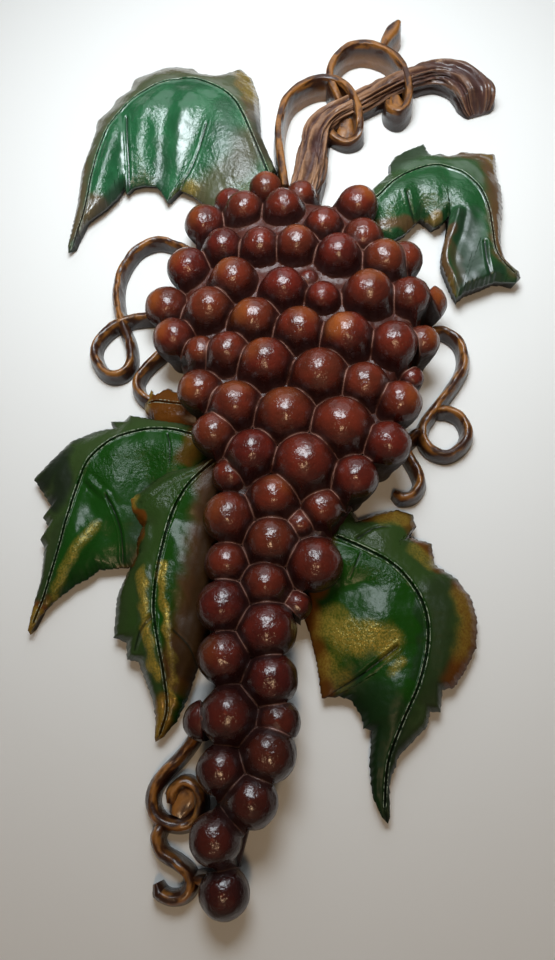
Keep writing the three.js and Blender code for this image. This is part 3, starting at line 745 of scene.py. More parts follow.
def grape_patch(i, turns, rows, softness, dents):
    """One grape: a dome that stops where its neighbours start, on a wall that drops behind."""
    x0, z0, radius, _ = GRAPES[i]
    gaps = np.hypot(GRAPES[:, 0] - x0, GRAPES[:, 1] - z0)
    near = list(np.flatnonzero(gaps < radius * 1.35 + GRAPES[:, 2] * 1.35))
    angle = 2 * np.pi * np.arange(turns) / turns
    flat = np.stack([np.cos(angle), np.sin(angle)], axis=1)
    reach_end, meets, free = grape_rim(i, near, flat)

    share = np.sin(np.linspace(0, 1, rows + 1)[1:] ** 0.92 * np.pi / 2)
    reach = reach_end[None, :] * share[:, None]
    x, z = x0 + radius * reach * flat[:, 0], z0 + radius * reach * flat[:, 1]
    out = bunch_front(x, z, near, softness)
    ball = TOPS[i] - radius * (1 - np.sqrt(np.maximum(1 - np.minimum(reach, 1) ** 2, 0)))
    out = out + free[None, :] * (np.minimum(ball, out) - out)
    lean = np.arcsin(np.clip(reach, 0, 1))
    normals = np.concatenate([np.sin(lean)[..., None] * flat[None], np.cos(lean)[..., None]], axis=-1)
    points = np.stack([x, z, out], axis=-1)
    uneven = ripple(points, 10.0, 40 + i) * 0.7 + ripple(points, 4.0, 90) * 0.3
    points += dents * uneven[..., None] * normals
    to_crease = np.where(meets[None, :], radius * (reach_end[None, :] - reach), FAR)

    walls = grape_walls(i, points[-1], flat, ~meets)
    every = [[[x0, z0, TOPS[i]]], points.reshape(-1, 3), np.concatenate(walls), [[x0, z0, 0]]]
    every = np.concatenate(every)
    count = rows + len(walls)
    foot, base = len(every) - 1, 1 + (count - 1) * turns
    faces = [(0, 1 + j, 1 + (j + 1) % turns) for j in range(turns)]
    faces += [tuple(reversed(quad)) for quad in strips(count, turns, 1, True)]
    faces += [(foot, base + (j + 1) % turns, base + j) for j in range(turns)]

    def spread(at_top, on_dome, on_wall, at_foot):
        return np.concatenate([[at_top], on_dome.ravel(), np.tile(on_wall, len(walls)), [at_foot]])

    # Painted shade: darker on a grape's flanks and on the side that faces down; the paint is also darker
    # towards the tail.
    flank = blend(lean, 0.35, 1.25) * (0.75 - 0.25 * normals[..., 1])
    painted_shade_and_tail_dark = np.clip(flank * 0.8 + 0.62 * blend(-z0, 150, 380), 0, 1)
    none, full = np.zeros(turns), np.ones(turns)
    channels = {
        "crease": spread(FAR, to_crease, np.where(meets, 0.0, FAR), FAR),
        "bloom": spread(bloom_on(i, np.array([0, 0, 1.0])), bloom_on(i, normals), none, 0.0),
        "tone": np.full(len(every), RNG.uniform(0, 1)),
        "painted_shade_and_tail_dark": spread(0.0, painted_shade_and_tail_dark, painted_shade_and_tail_dark[-1], 0.5),
        "wall": spread(0.0, blend(lean, 1.3, 1.56) * free[None, :], full, 1.0),
    }
    return every, faces, channels, 1 + (rows - 1) * turns + np.flatnonzero(meets)


def grape_group(name, numbers, finish, softness, dents):
    """Several grapes as one piece."""
    points, faces, sharp, channels = [], [], [], {}
    count = 0
    for i in numbers:
        part, part_faces, part_channels, part_sharp = grape_patch(i, GRAPE_TURNS, GRAPE_ROWS, softness, dents)
        points.append(part)
        faces += [tuple(k + count for k in face) for face in part_faces]
        sharp.append(part_sharp + count)
        for key, values in part_channels.items():
            channels.setdefault(key, []).append(values)
        count += len(part)
    channels = {key: np.concatenate(values) for key, values in channels.items()}
    return make_piece(name, np.concatenate(points), faces, finish, channels, np.concatenate(sharp))


def filling_mesh(name, finish, softness):
    """The filling that shows in the pits between the grapes, dark with painted shade that deepens down the
    bunch.
    """
    rows = np.arange(FILLING[-1, 0] + 0.5, 19.6, 2.2)
    left, right = filling_sides(rows)
    left, right = left + 0.5, right - 0.5
    share = np.linspace(0, 1, 56)
    x = left[:, None] + (right - left)[:, None] * share[None, :]
    z = np.repeat(rows[:, None], len(share), axis=1)
    front = bunch_front(x, z, range(len(GRAPES)), softness)
    points = np.stack([x, z, np.minimum(front, filling_out(x, z) + 1.5)], axis=-1)
    columns = len(share)
    top = points.reshape(-1, 3)
    foot = top.copy()
    foot[:, 2] = 0.5
    n = len(top)
    faces = strips(len(rows), columns, 0, False)
    faces += [tuple(reversed(f)) for f in strips(len(rows), columns, n, False)]
    ring = list(range(columns)) + [columns * (r + 1) - 1 for r in range(1, len(rows))]
    ring += list(range(n - 2, n - columns - 1, -1)) + [columns * r for r in range(len(rows) - 2, 0, -1)]
    faces += [(b, a, a + n, b + n) for a, b in zip(ring, ring[1:] + ring[:1])]
    channels = {key: np.full(2 * n, value) for key, value in FILLING_TONES.items()}
    # Painted shade in the pits, darker down the bunch.
    channels["painted_shade_and_tail_dark"] = np.tile(0.45 + 0.5 * blend(-top[:, 1], 60, 260), 2)
    return make_piece(name, np.concatenate([top, foot]), faces, finish, channels)


# ------------------------------------------------------------------ leaves


def edge_row(edge, place):
    """Reads a leaf's edge, straight between its rows: across, up and out."""
    table = np.array([(*row[:3], row[3] if len(row) > 3 else LEAF_EDGE) for row in edge], float)
    return np.stack([np.interp(place, table[:, 0], table[:, k]) for k in (1, 2, 3)], axis=-1)


def swell_at(veins, place):
    """How far a leaf swells at a place along its midrib: full half way between two veins."""
    veins = np.asarray(veins, float)
    after = np.clip(np.searchsorted(veins, place, side="right"), 1, len(veins) - 1)
    part = np.clip((place - veins[after - 1]) / (veins[after] - veins[after - 1]), 0, 1)
    return np.where((place >= veins[0]) & (place < veins[-1]), np.sin(np.pi * part), 0)


def jagged(edge, size, seed):
    """Pushes a leaf's edge in and out in small uneven teeth."""
    draw = np.random.default_rng(seed)
    step = np.linalg.norm(np.diff(edge[:, :2], axis=0), axis=1)
    length = np.concatenate([[0], np.cumsum(step)])
    knots = np.cumsum(draw.uniform(2.5, 5.5, int(length[-1] / 2.5) + 4))
    knots = np.concatenate([[0], knots])
    depth = draw.uniform(0.2, 1.0, len(knots))
    index = np.clip(np.searchsorted(knots, length, side="right") - 1, 0, len(knots) - 2)
    part = (length - knots[index]) / (knots[index + 1] - knots[index])
    tooth = depth[index] * (part**1.5 - 0.4)
    way = np.gradient(edge[:, :2], axis=0)
    way /= np.maximum(np.linalg.norm(way, axis=1), 1e-6)[:, None]
    out = edge.copy()
    ease = blend(np.minimum(length, length[-1] - length), 0, 12)
    out[:, 0] += -way[:, 1] * tooth * size * ease
    out[:, 1] += way[:, 0] * tooth * size * ease
    return out


def eased(flat, value, size):
    """Averages a value given at scattered places [across, up] over its neighbourhood."""
    low = flat.reshape(-1, 2).min(axis=0) - 2
    spot = (flat - low).reshape(-1, 2)
    wide, high = (int(n) + 3 for n in spot.max(axis=0))
    cell = spot.astype(int)
    part = spot - cell
    pairs = [(a, b) for a in (0, 1) for b in (0, 1)]
    corners = [(a, b, np.abs(1 - a - part[:, 0]) * np.abs(1 - b - part[:, 1])) for a, b in pairs]
    sums = np.zeros((2, wide, high))
    for a, b, weight in corners:
        np.add.at(sums[0], (cell[:, 0] + a, cell[:, 1] + b), weight * value.ravel())
        np.add.at(sums[1], (cell[:, 0] + a, cell[:, 1] + b), weight)
    sums[0] /= np.maximum(sums[1], 1e-9)
    sums[1] = np.minimum(sums[1], 1)
    sums[0] *= sums[1]
    half = int(3 * size)
    window = np.exp(-0.5 * (np.arange(-half, half + 1) / size) ** 2)
    for axis in (1, 2):
        sums = np.apply_along_axis(lambda line: np.convolve(line, window)[half:][: len(line)], axis, sums)
    mean = sums[0] / np.maximum(sums[1], 1e-9)
    return sum(mean[cell[:, 0] + a, cell[:, 1] + b] * weight for a, b, weight in corners).reshape(value.shape)


def leaf_places(leaf, step):
    """Places along a leaf, counted in rows of its midrib, that are about a step apart."""
    breaks = sorted({row[0] for row in leaf["outer"]} | {row[0] for row in leaf["inner"]})
    places = [breaks[0]]
    for a, b in zip(breaks[:-1], breaks[1:]):
        ends = np.array([a, b])
        lines = [edge_row(leaf["outer"], ends), edge_row(leaf["inner"], ends), smooth(leaf["midrib"], ends)]
        reach = max(np.linalg.norm(np.diff(line[:, :2], axis=0)) for line in lines)
        places += list(np.linspace(a, b, max(int(reach / step), 1) + 1)[1:])
    return np.array(places)


def leaf_front(name, leaf, place, rib, across_rows, teeth):
    """A leaf's front before its folds, how far each point is from the edge, and the two edges."""
    t = np.linspace(0, 1, across_rows + 1)
    share = np.concatenate([t[:-2] ** 1.25 * 0.985, [0.992, 1.0]])
    halves, margins, edges = [], [], []
    for side, turn in (("outer", -1), ("inner", 1)):
        edge = jagged(edge_row(leaf[side], place), -teeth * turn, len(name) + turn)
        swell = LEAF_BILLOW * swell_at(leaf["veins"], place) * (1 if side == "inner" else 0.4)
        reach = share[None, :]
        out = rib[:, 2:] + (edge[:, 2:] - rib[:, 2:]) * reach**2.1 + swell[:, None] * 4 * reach * (1 - reach)
        flat = rib[:, None, :2] + (edge[:, None, :2] - rib[:, None, :2]) * reach[..., None]
        halves.append(np.concatenate([flat, out[..., None]], axis=-1))
        margins.append(np.linalg.norm(flat[:, -1] - rib[:, :2], axis=1)[:, None] * (1 - share)[None, :])
        edges.append(edge)
    top = np.concatenate([halves[0][:, ::-1], halves[1][:, 1:]], axis=1)
    margin = np.concatenate([margins[0][:, ::-1], margins[1][:, 1:]], axis=1)
    level = eased(top[..., :2], top[..., 2], 4.0)
    top[..., 2] += (level - top[..., 2]) * blend(margin, 0.5, 7)
    return top, margin, edges


def leaf_folds(flat, vein, relief, groove):
    """How far a leaf rises or sinks along its midrib and folds, and how near the fine creases are."""
    crease = np.full(vein.shape, 9.0)
    rise = groove * (0.7 * hump(vein - 1.7, 0.6) - 1.1 * hump(vein, 0.5))
    for line, wide, height in relief:
        line = smooth(line, np.linspace(0, len(line) - 1, 8 * len(line)))
        far, along = line_distance(flat, line)
        taper = 1 - 0.6 * along
        if wide < FINE_LINE:
            rise += height * taper * (hump(far / wide) - 0.35 * hump(far / wide - 1.9, 0.5))
            if height < 0:
                crease = np.minimum(crease, far / (wide * taper + 0.1))
        else:
            rise += height * hump(far / wide) * (0.4 + 0.6 * np.sin(np.pi * np.clip(along, 0.08, 0.92)))
    return rise, crease


def leaf_walls(rib, edges, top):
    """The rings of a leaf's side walls, outer and inner, which fall back towards the midrib."""
    walls = ([], [])
    for drop, under, _ in LEAF_WALLS:
        for side, edge, column in zip(walls, edges, (0, -1)):
            inwards = rib[:, :2] - edge[:, :2]
            share = np.minimum(under / np.maximum(np.linalg.norm(inwards, axis=1), 1e-6), 0.4)
            side.append(np.column_stack([edge[:, :2] + inwards * share[:, None], top[:, column, 2] * drop]))
    return walls


def stroke_cover(flat, strokes, wander):
    """How strongly the listed strokes cover each point."""
    value = np.zeros(flat.shape[:-1])
    for line, wide, strength in strokes:
        far, _ = line_distance(flat + wander, line)
        value = np.maximum(value, strength * (1 - blend(far, 0.25 * wide, 1.25 * wide)))
    return value


def leaf_mesh(key, leaf, finish, across_rows, sizes):
    """A leaf as one closed body: a veined front, an edge that falls back and a flat back on the wall."""
    name = "leaf_" + key
    place = leaf_places(leaf, sizes.leaf_step / MM)
    rib = smooth(leaf["midrib"], place)
    top, margin, edges = leaf_front(name, leaf, place, rib, across_rows, sizes.leaf_teeth / MM)
    flat = top[..., :2]
    midrib = smooth(leaf["midrib"], np.linspace(0, len(leaf["midrib"]) - 1, 60))
    to_rib, along_rib = line_distance(flat, midrib[:, :2])
    vein = to_rib / (0.76 - 0.32 * along_rib)
    rise, crease = leaf_folds(flat, vein, RELIEF[key], sizes.leaf_groove / MM)
    rise += ripple(flat, 16, len(name) * 7) * 0.35 + ripple(flat, 5, len(name) * 3) * 0.08
    wander = ripple(flat, 11, 5)[..., None] * 1.5
    lowered = 0.35 * (1 - blend(margin, 0, 1.2))
    top[..., 2] = np.maximum(top[..., 2] + rise * blend(margin, 0, 4) - lowered, 2.0)

    outer, inner = leaf_walls(rib, edges, top)
    back = np.column_stack([rib[:, :2], np.zeros(len(place))])
    grid = np.stack([*reversed(outer), *np.moveaxis(top, 1, 0), *inner, back], axis=1)
    rows, wide = grid.shape[:2]
    ends = [grid[0].mean(axis=0), np.array(leaf["tip"], float)]
    points = np.concatenate([grid.reshape(-1, 3), ends])
    first, last, base = rows * wide, rows * wide + 1, (rows - 1) * wide
    faces = strips(rows, wide, 0, True)
    faces += [(first, (j + 1) % wide, j) for j in range(wide)]
    faces += [(last, base + j, base + (j + 1) % wide) for j in range(wide)]

    channels = {"vein": np.clip(vein, 0, 9), "crease": crease, "margin": margin}
    for coat in ("gold", "brown", "dark", "beaten"):
        channels[coat] = stroke_cover(flat, PAINT[key].get(coat, []), wander)
    outside = (np.arange(margin.shape[1]) < across_rows)[None, :] * blend(to_rib, 0.5, 3.0)
    # The wall's darkness from LEAF_WALLS is painted shade.
    darks = [dark for _, _, dark in LEAF_WALLS]
    pad = len(LEAF_WALLS)
    spread = {
        value_name: np.pad(value, ((0, 0), (pad, pad + 1)), "edge")
        for value_name, value in channels.items()
    }
    spread["wall"] = np.tile([*reversed(darks), *np.zeros(top.shape[1]), *darks, 1.0], (rows, 1))
    spread["olive"] = np.full((rows, wide), OLIVE[key])
    spread["outside"] = np.pad(outside * MARGIN_TONE[key], ((0, 0), (pad, pad + 1)), "edge")
    spread = {
        value_name: np.concatenate([value.ravel(), [value[0].mean(), value[-1].mean()]])
        for value_name, value in spread.items()
    }
    return outward(make_piece(name, points, faces, finish, spread))


# ------------------------------------------------------------------ sums on sockets


class Signal:
    """A value on a node's socket that can be used in plain sums."""

    def __init__(self, nodes, socket):
        self.nodes = nodes
        self.socket = socket

    def math(self, operation, other=0.0, swapped=False):
        first, second = (other, self) if swapped else (self, other)
        return self.nodes.node("ShaderNodeMath", {"operation": operation}, {0: first, 1: second})

    def __add__(self, other):
        return self.math("ADD", other)

    def __radd__(self, other):
        return self.math("ADD", other, True)

    def __sub__(self, other):
        return self.math("SUBTRACT", other)

    def __rsub__(self, other):
        return self.math("SUBTRACT", other, True)

    def __mul__(self, other):
        return self.math("MULTIPLY", other)

    def __rmul__(self, other):
        return self.math("MULTIPLY", other, True)

    def __truediv__(self, other):
        return self.math("DIVIDE", other)

    def __rtruediv__(self, other):
        return self.math("DIVIDE", other, True)

    def __pow__(self, other):
        return self.math("POWER", other)

    def __rpow__(self, other):
        return self.math("POWER", other, True)

    def most(self, other):
        return self.math("MAXIMUM", other)

    def least(self, other):
        return self.math("MINIMUM", other)

    def ramp(self, low, high):
        """0 at low and 1 at high with a soft slope; low may be the larger."""
        settings = {"interpolation_type": "SMOOTHSTEP", "clamp": True}
        sockets = {"Value": self, "From Min": low, "From Max": high}
        return self.nodes.node("ShaderNodeMapRange", settings, sockets)


class Nodes:
    """Writes nodes into a tree: each call makes one node and gives one of its outputs."""

    def __init__(self, tree):
        self.tree = tree

    def node(self, kind, settings=None, sockets=None, output=0):
        made = self.tree.nodes.new(kind)
        for key, value in (settings or {}).items():
            setattr(made, key, value)
        for key, value in (sockets or {}).items():
            if isinstance(value, Signal):
                self.tree.links.new(value.socket, made.inputs[key])
            else:
                made.inputs[key].default_value = value
        return Signal(self, made.outputs[output])


# ------------------------------------------------------------------ strips that follow a path


class StripTree(Nodes):
    """A Geometry Nodes tree with one geometry in, one out and named inputs."""

    def __init__(self, name, inputs):
        super().__init__(bpy.data.node_groups.new(name, "GeometryNodeTree"))
        face = self.tree.interface
        face.new_socket("Geometry", in_out="INPUT", socket_type="NodeSocketGeometry")
        for label, (kind, value) in inputs.items():
            socket = face.new_socket(label, in_out="INPUT", socket_type="NodeSocket" + kind)
            if value is not None:
                socket.default_value = value
        face.new_socket("Geometry", in_out="OUTPUT", socket_type="NodeSocketGeometry")
        self.start = self.tree.nodes.new("NodeGroupInput")
        self.end = self.tree.nodes.new("NodeGroupOutput")

    def given(self, label):
        """One of the tree's own inputs."""
        return Signal(self, self.start.outputs[label])

    def vector(self, operation, first, second=(0.0, 0.0, 0.0), **sockets):
        return self.node("ShaderNodeVectorMath", {"operation": operation}, {0: first, 1: second, **sockets})

    def keep(self, geometry, kind, value):
        """Captures a value at each point of a curve, for use after the sweep."""
        made = self.tree.nodes.new("GeometryNodeCaptureAttribute")
        made.domain = "POINT"
        made.capture_items.new(kind, "Kept")
        self.tree.links.new(geometry.socket, made.inputs[0])
        self.tree.links.new(value.socket, made.inputs[1])
        return Signal(self, made.outputs[0]), Signal(self, made.outputs[1])

    def store(self, geometry, name, value):
        """Stores a value at each point under a name."""
        settings = {"data_type": "FLOAT", "domain": "POINT"}
        sockets = {"Geometry": geometry, "Name": name, "Value": value}
        return self.node("GeometryNodeStoreNamedAttribute", settings, sockets)

    def read(self, name):
        """Reads a named value from each point."""
        return self.node("GeometryNodeInputNamedAttribute", {"data_type": "FLOAT"}, {"Name": name})


STRIP_INPUTS = {
    "Step": ("Float", 0.0012),
    "Sides": ("Int", 17),
    "Draft": ("Float", 0.0012),
    "Squareness": ("Float", 0.6),
    "Groove depth": ("Float", 0.0004),
    "Groove count": ("Float", 3.0),
    "Groove length": ("Float", 0.03),
    "Groove sharpness": ("Float", 1.0),
    "Seed": ("Float", 1.0),
    "Finish": ("Material", None),
}


def moulded_strip_tree():
    """A strip with a flat back and an arched or boxy front, swept along a path on the wall.

    The path carries its half width and its distance from the wall at each point as the named
    values "half" and "out". Grooves run lengthwise, wander along the strip and fade near the wall.
    """
    tree = StripTree("Moulded strip", STRIP_INPUTS)
    path = tree.node("GeometryNodeMeshToCurve", None, {"Mesh": tree.given("Geometry")})
    path = tree.node("GeometryNodeCurveSplineType", {"spline_type": "CATMULL_ROM"}, {"Curve": path})
    path = tree.node("GeometryNodeSetSplineResolution", None, {"Geometry": path, "Resolution": 12})
    step = tree.given("Step")
    path = tree.node("GeometryNodeResampleCurve", {"mode": "LENGTH"}, {"Curve": path, "Length": step})
    tangent = tree.node("GeometryNodeInputTangent")
    side = tree.vector("NORMALIZE", tree.vector("CROSS_PRODUCT", tangent, (0.0, 1.0, 0.0)))
    path, kept_place = tree.keep(path, "VECTOR", tree.node("GeometryNodeInputPosition"))
    path, kept_side = tree.keep(path, "VECTOR", side)
    path, kept_length = tree.keep(path, "FLOAT", tree.node("GeometryNodeSplineParameter", output="Length"))

    section = tree.node("GeometryNodeCurvePrimitiveLine", None, {"Start": (0, 0, 0), "End": (1, 0, 0)})
    count = tree.given("Sides")
    section = tree.node("GeometryNodeResampleCurve", {"mode": "COUNT"}, {"Curve": section, "Count": count})
    section, turn = tree.keep(section, "FLOAT", tree.node("GeometryNodeSplineParameter", output="Factor"))
    section = tree.node("GeometryNodeSetSplineCyclic", None, {"Geometry": section, "Cyclic": True})
    sweep = {"Curve": path, "Profile Curve": section, "Fill Caps": True}
    swept = tree.node("GeometryNodeCurveToMesh", None, sweep)

    angle = turn * math.pi
    cosine, sine = angle.math("COSINE"), angle.math("SINE").most(0.0)
    across = cosine.math("SIGN") * cosine.math("ABSOLUTE") ** tree.given("Squareness")
    rise = sine ** tree.given("Squareness")
    width = across * (tree.read("half") + tree.given("Draft") * (1.0 - rise))
    lengthwise = kept_length / tree.given("Groove length")
    where = {0: turn * tree.given("Groove count"), 1: lengthwise, 2: tree.given("Seed")}
    where = tree.node("ShaderNodeCombineXYZ", None, where)
    grain = {"Vector": where, "Scale": 1.0, "Detail": 3.0, "Roughness": 0.55}
    waves = tree.node("ShaderNodeTexNoise", {"noise_dimensions": "3D"}, grain)
    ridge = waves.ramp(0.34, 0.66) ** tree.given("Groove sharpness")
    push = tree.given("Groove depth") * (rise * 2.0).least(1.0) * (ridge - 0.6)
    place = tree.vector("ADD", kept_place, tree.vector("SCALE", kept_side, Scale=width + push * cosine))
    forward = (rise * tree.read("out") + push * sine).most(0.0)
    place = tree.vector("SUBTRACT", place, tree.node("ShaderNodeCombineXYZ", None, {1: forward}))
    shaped = tree.node("GeometryNodeSetPosition", None, {"Geometry": swept, "Position": place})
    for name, value in (("ridge", ridge), ("rise", rise), ("side", across)):
        shaped = tree.store(shaped, name, value)
    shaped = tree.node("GeometryNodeSetShadeSmooth", None, {"Geometry": shaped})
    shaped = tree.node("GeometryNodeRealizeInstances", None, {"Geometry": shaped})
    dressed = {"Geometry": shaped, "Material": tree.given("Finish")}
    shaped = tree.node("GeometryNodeSetMaterial", None, dressed)
    tree.tree.links.new(shaped.socket, tree.end.inputs[0])
    return tree.tree


def tapered(path, end, width, height):
    """Narrows the last few millimetres of a path at both ends."""
    line = np.array(path, float)
    length = np.concatenate([[0], np.cumsum(np.linalg.norm(np.diff(line[:, :2], axis=0), axis=1))])
    places = np.unique(np.concatenate([length, [end, length[-1] - end, end * 0.3, length[-1] - end * 0.3]]))
    line = np.column_stack([np.interp(places, length, line[:, k]) for k in range(4)])
    inside = blend(np.minimum(places, length[-1] - places), -0.3 * end, end)
    line[:, 3] *= width + (1 - width) * inside
    line[:, 2] *= height + (1 - height) * inside
    return [tuple(row) for row in line]


def sweep_strips(name, paths, values, finish):
    """Sweeps one piece along several paths [across, up, out, half width]."""
    tree = bpy.data.node_groups.get("Moulded strip") or moulded_strip_tree()
    mesh = bpy.data.meshes.new(name + "_path")
    points, edges = [], []
    for path in paths:
        start = len(points)
        points += [(x * MM, 0, z * MM) for x, z, _, _ in path]
        edges += [(start + i, start + i + 1) for i in range(len(path) - 1)]
    mesh.from_pydata(points, edges, [])
    for channel, column in (("half", 3), ("out", 2)):
        numbers = [row[column] * MM for path in paths for row in path]
        mesh.attributes.new(channel, "FLOAT", "POINT").data.foreach_set("value", numbers)
    route = link(name + "_path", mesh)
    modifier = route.modifiers.new("Strip", "NODES")
    modifier.node_group = tree
    sockets = {item.name: item.identifier for item in tree.interface.items_tree if item.in_out == "INPUT"}
    for label, value in {**values, "Finish": finish}.items():
        modifier[sockets[label]] = value
    bpy.context.view_layer.update()
    evaluated = route.evaluated_get(bpy.context.evaluated_depsgraph_get())
    shape = bpy.data.meshes.new_from_object(evaluated)
    shape.name = name
    piece = link(name, shape)
    route.modifiers.clear()
    bpy.data.objects.remove(route)
    bpy.data.meshes.remove(mesh)
    if not len(shape.polygons):
        raise RuntimeError(f"{name} came out empty")
    return outward(piece)


# ------------------------------------------------------------------ finishes


class Finish(Nodes):
    """One lacquered finish: a node tree that ends in a Principled shader."""

    def __init__(self, name, roughness, coat, coat_roughness, gloss):
        self.material = bpy.data.materials.new(name)
        self.material.use_nodes = True
        super().__init__(self.material.node_tree)
        self.tree.nodes.clear()
        self.out = self.tree.nodes.new("ShaderNodeOutputMaterial")
        self.shader = self.tree.nodes.new("ShaderNodeBsdfPrincipled")
        self.tree.links.new(self.shader.outputs[0], self.out.inputs[0])
        self.set_inputs({
            "Roughness": roughness,
            "Coat Weight": coat,
            "Coat Roughness": coat_roughness,
            "Specular IOR Level": gloss,
        })
        self.place = self.node("ShaderNodeTexCoord", None, None, "Object")

    def set_inputs(self, values):
        """Sets or links the shader's inputs."""
        for key, value in values.items():
            if isinstance(value, Signal):
                self.tree.links.new(value.socket, self.shader.inputs[key])
            else:
                self.shader.inputs[key].default_value = value

    def channel(self, name):
        """A value that the mesh carries at each point."""
        return self.node("ShaderNodeAttribute", {"attribute_name": name}, None, "Fac")

    def noise(self, size, detail=3.0, roughness=0.5):
        """Noise whose waves are about size metres long, from 0 to 1."""
        sockets = {"Vector": self.place, "Scale": 1 / size, "Detail": detail, "Roughness": roughness}
        return self.node("ShaderNodeTexNoise", None, sockets)

    def mix(self, amount, first, second):
        """Goes from the first colour to the second."""
        return self.node("ShaderNodeMix", {"data_type": "RGBA"}, {0: amount, 6: first, 7: second}, 2)

    def bump(self, height, depth, before=None):
        """A bump of the given depth in metres; the height runs from 0 to 1."""
        sockets = {"Height": height, "Strength": 1.0, "Distance": depth}
        if before is not None:
            sockets["Normal"] = before
        return self.node("ShaderNodeBump", None, sockets)

    def close(self, skin, **others):
        """Gives the shader its colour and its other values."""
        self.set_inputs({"Base Color": skin, **others})
        return self.material


def grape_skin(name, paint):
    """Burgundy-brown lacquer with orange blooms, painted shade in the hollows and on the lower flanks, and
    thin pale lines in the creases that are partly wear and partly a painted highlight.
    """
    finish = Finish(name, 0.3, 0.6, 0.17, 0.5)
    crease, bloom, tone, painted_shade_and_tail_dark, wall = map(finish.channel, ("crease", "bloom", "tone", "painted_shade_and_tail_dark", "wall"))
    cloud = finish.noise(0.012, 4)
    speck = finish.noise(0.0014, 2)
    skin = finish.mix(cloud.ramp(0.3, 0.7), paint.grape_deep, paint.grape_red)
    skin = finish.mix(tone * 0.5, skin, paint.grape_brown)
    skin = finish.mix((bloom * (cloud * 0.6 + 0.5)).least(1.0), skin, paint.grape_bloom)
    # Painted shade in the creases and on the lower flanks, darker towards the tail.
    hollow_shade = crease.ramp(5.0, 0.8)
    skin = finish.mix((painted_shade_and_tail_dark + hollow_shade * 0.25).least(0.92), skin, paint.hollow_shade)
    rubbed = crease.ramp(1.6, 0.2) * (1.0 - painted_shade_and_tail_dark).most(0.0) * 0.7
    skin = finish.mix(rubbed, skin, paint.grape_brown)
    # A pale line in the creases: partly wear, partly a painted highlight where the crease catches the lamp;
    # it fades where painted shade lies.
    wear_and_glint = crease.ramp(0.6, 0.2) * cloud.ramp(0.36, 0.5) * (0.85 - painted_shade_and_tail_dark * 0.65)
    skin = finish.mix(wear_and_glint, skin, paint.worn_line_and_highlight)
    # Painted shade on the side walls.
    skin = finish.mix(wall * 0.8, skin, paint.side_wall_shade)
    chips = speck.ramp(0.74, 0.78) * finish.noise(0.02, 2).ramp(0.58, 0.7) * 0.6
    skin = finish.mix(chips, skin, paint.worn_line_and_highlight)
    dull = (speck * 0.1 + hollow_shade * 0.25 + wall * 0.4 + 0.15).least(0.7)
    lacquer = crease.ramp(0.0, 3.0) * (1.0 - wall) * 0.2
    pits = finish.bump(finish.noise(0.0016, 2).ramp(0.25, 0.5), 0.0001)
    normal = finish.bump(finish.noise(0.0045, 3), 0.0007, pits)
    return finish.close(skin, **{"Normal": normal, "Roughness": dull, "Coat Weight": lacquer})


def leaf_skin(name, paint, gloss):
    """Deep green lacquer, beaten in places, browned and gilded with an airbrush near the edges, with a warm
    reflection painted in gold on the lower leaves, painted shade in the grooves and on the side walls, and
    painted highlights as pale beads along the veins.
    """
    finish = Finish(name, 0.35, 0.4, 0.16, gloss)
    vein, crease, margin, gold, brown = map(finish.channel, ("vein", "crease", "margin", "gold", "brown"))
    dark, beaten, wall, olive, outside = map(finish.channel, ("dark", "beaten", "wall", "olive", "outside"))
    cloud = finish.noise(0.022, 4)
    grain = finish.noise(0.0019, 3, 0.65)
    blows = finish.noise(0.0045, 2)
    green = finish.mix(cloud.ramp(0.3, 0.7), paint.leaf_deep, paint.leaf_green)
    # The lower leaves' darker, yellower olive stands partly for the dimmer, warmer light on them.
    green = finish.mix(olive, green, paint.leaf_olive)
    green = finish.mix(margin.ramp(13.0, 0.0) * 0.45, green, paint.leaf_dark)
    green = finish.mix((outside * (cloud * 0.6 + 0.55)).least(1.0), green, paint.leaf_umber)
    umber = finish.mix(olive, paint.leaf_umber, paint.leaf_brown)
    skin = finish.mix((brown * (cloud + 0.55)).ramp(0.05, 0.95), green, umber)
    # Gold: gilding, and along the lower leaves' ridges and patches a painted warm reflection.
    flecks = finish.noise(0.0011, 2).ramp(0.34, 0.66)
    rubbed = (gold * (flecks * 0.55 + 0.35) * (blows + 0.5)).least(0.9)
    skin = finish.mix(rubbed, skin, paint.leaf_gold_and_glint)
    # Darkening at the very edge, under the dark strokes, in the vein grooves and in the fine creases: dark
    # paint, and painted shade in the grooves, creases and low places.
    rim = margin.ramp(1.6, 0.2) * 0.35
    for shade_and_dark_paint in (rim, dark * 0.85, vein.ramp(0.9, 0.3) * 0.7, crease.ramp(1.1, 0.3) * 0.7):
        skin = finish.mix(shade_and_dark_paint, skin, paint.leaf_dark)
    # Painted highlights: pale beads on the raised lips beside the veins.
    beads = (vein.ramp(1.0, 1.5) * vein.ramp(2.3, 1.7) * grain.ramp(0.42, 0.6)) * 0.75
    skin = finish.mix(beads, skin, paint.leaf_bead_highlight)
    # Painted shade on the side walls.
    skin = finish.mix(wall * 0.85, skin, paint.side_wall_shade)
    groove = finish.bump(vein.ramp(0.2, 1.4), 0.0005)
    hammered = finish.bump(blows * (beaten * 0.6 + 0.25), 0.0007, groove)
    normal = finish.bump(grain * (beaten * 0.65 + 0.12), 0.0008, hammered)
    satin = (grain * 0.1 + wall * 0.6 + dark * 0.25 + 0.2).least(0.8)
    lacquer = (1.0 - wall) * (0.08 - olive * 0.07) * (1.0 - beaten * 0.8)
    others = {"Normal": normal, "Roughness": satin, "Coat Weight": lacquer, "Metallic": rubbed * 0.4}
    return finish.close(skin, **others)


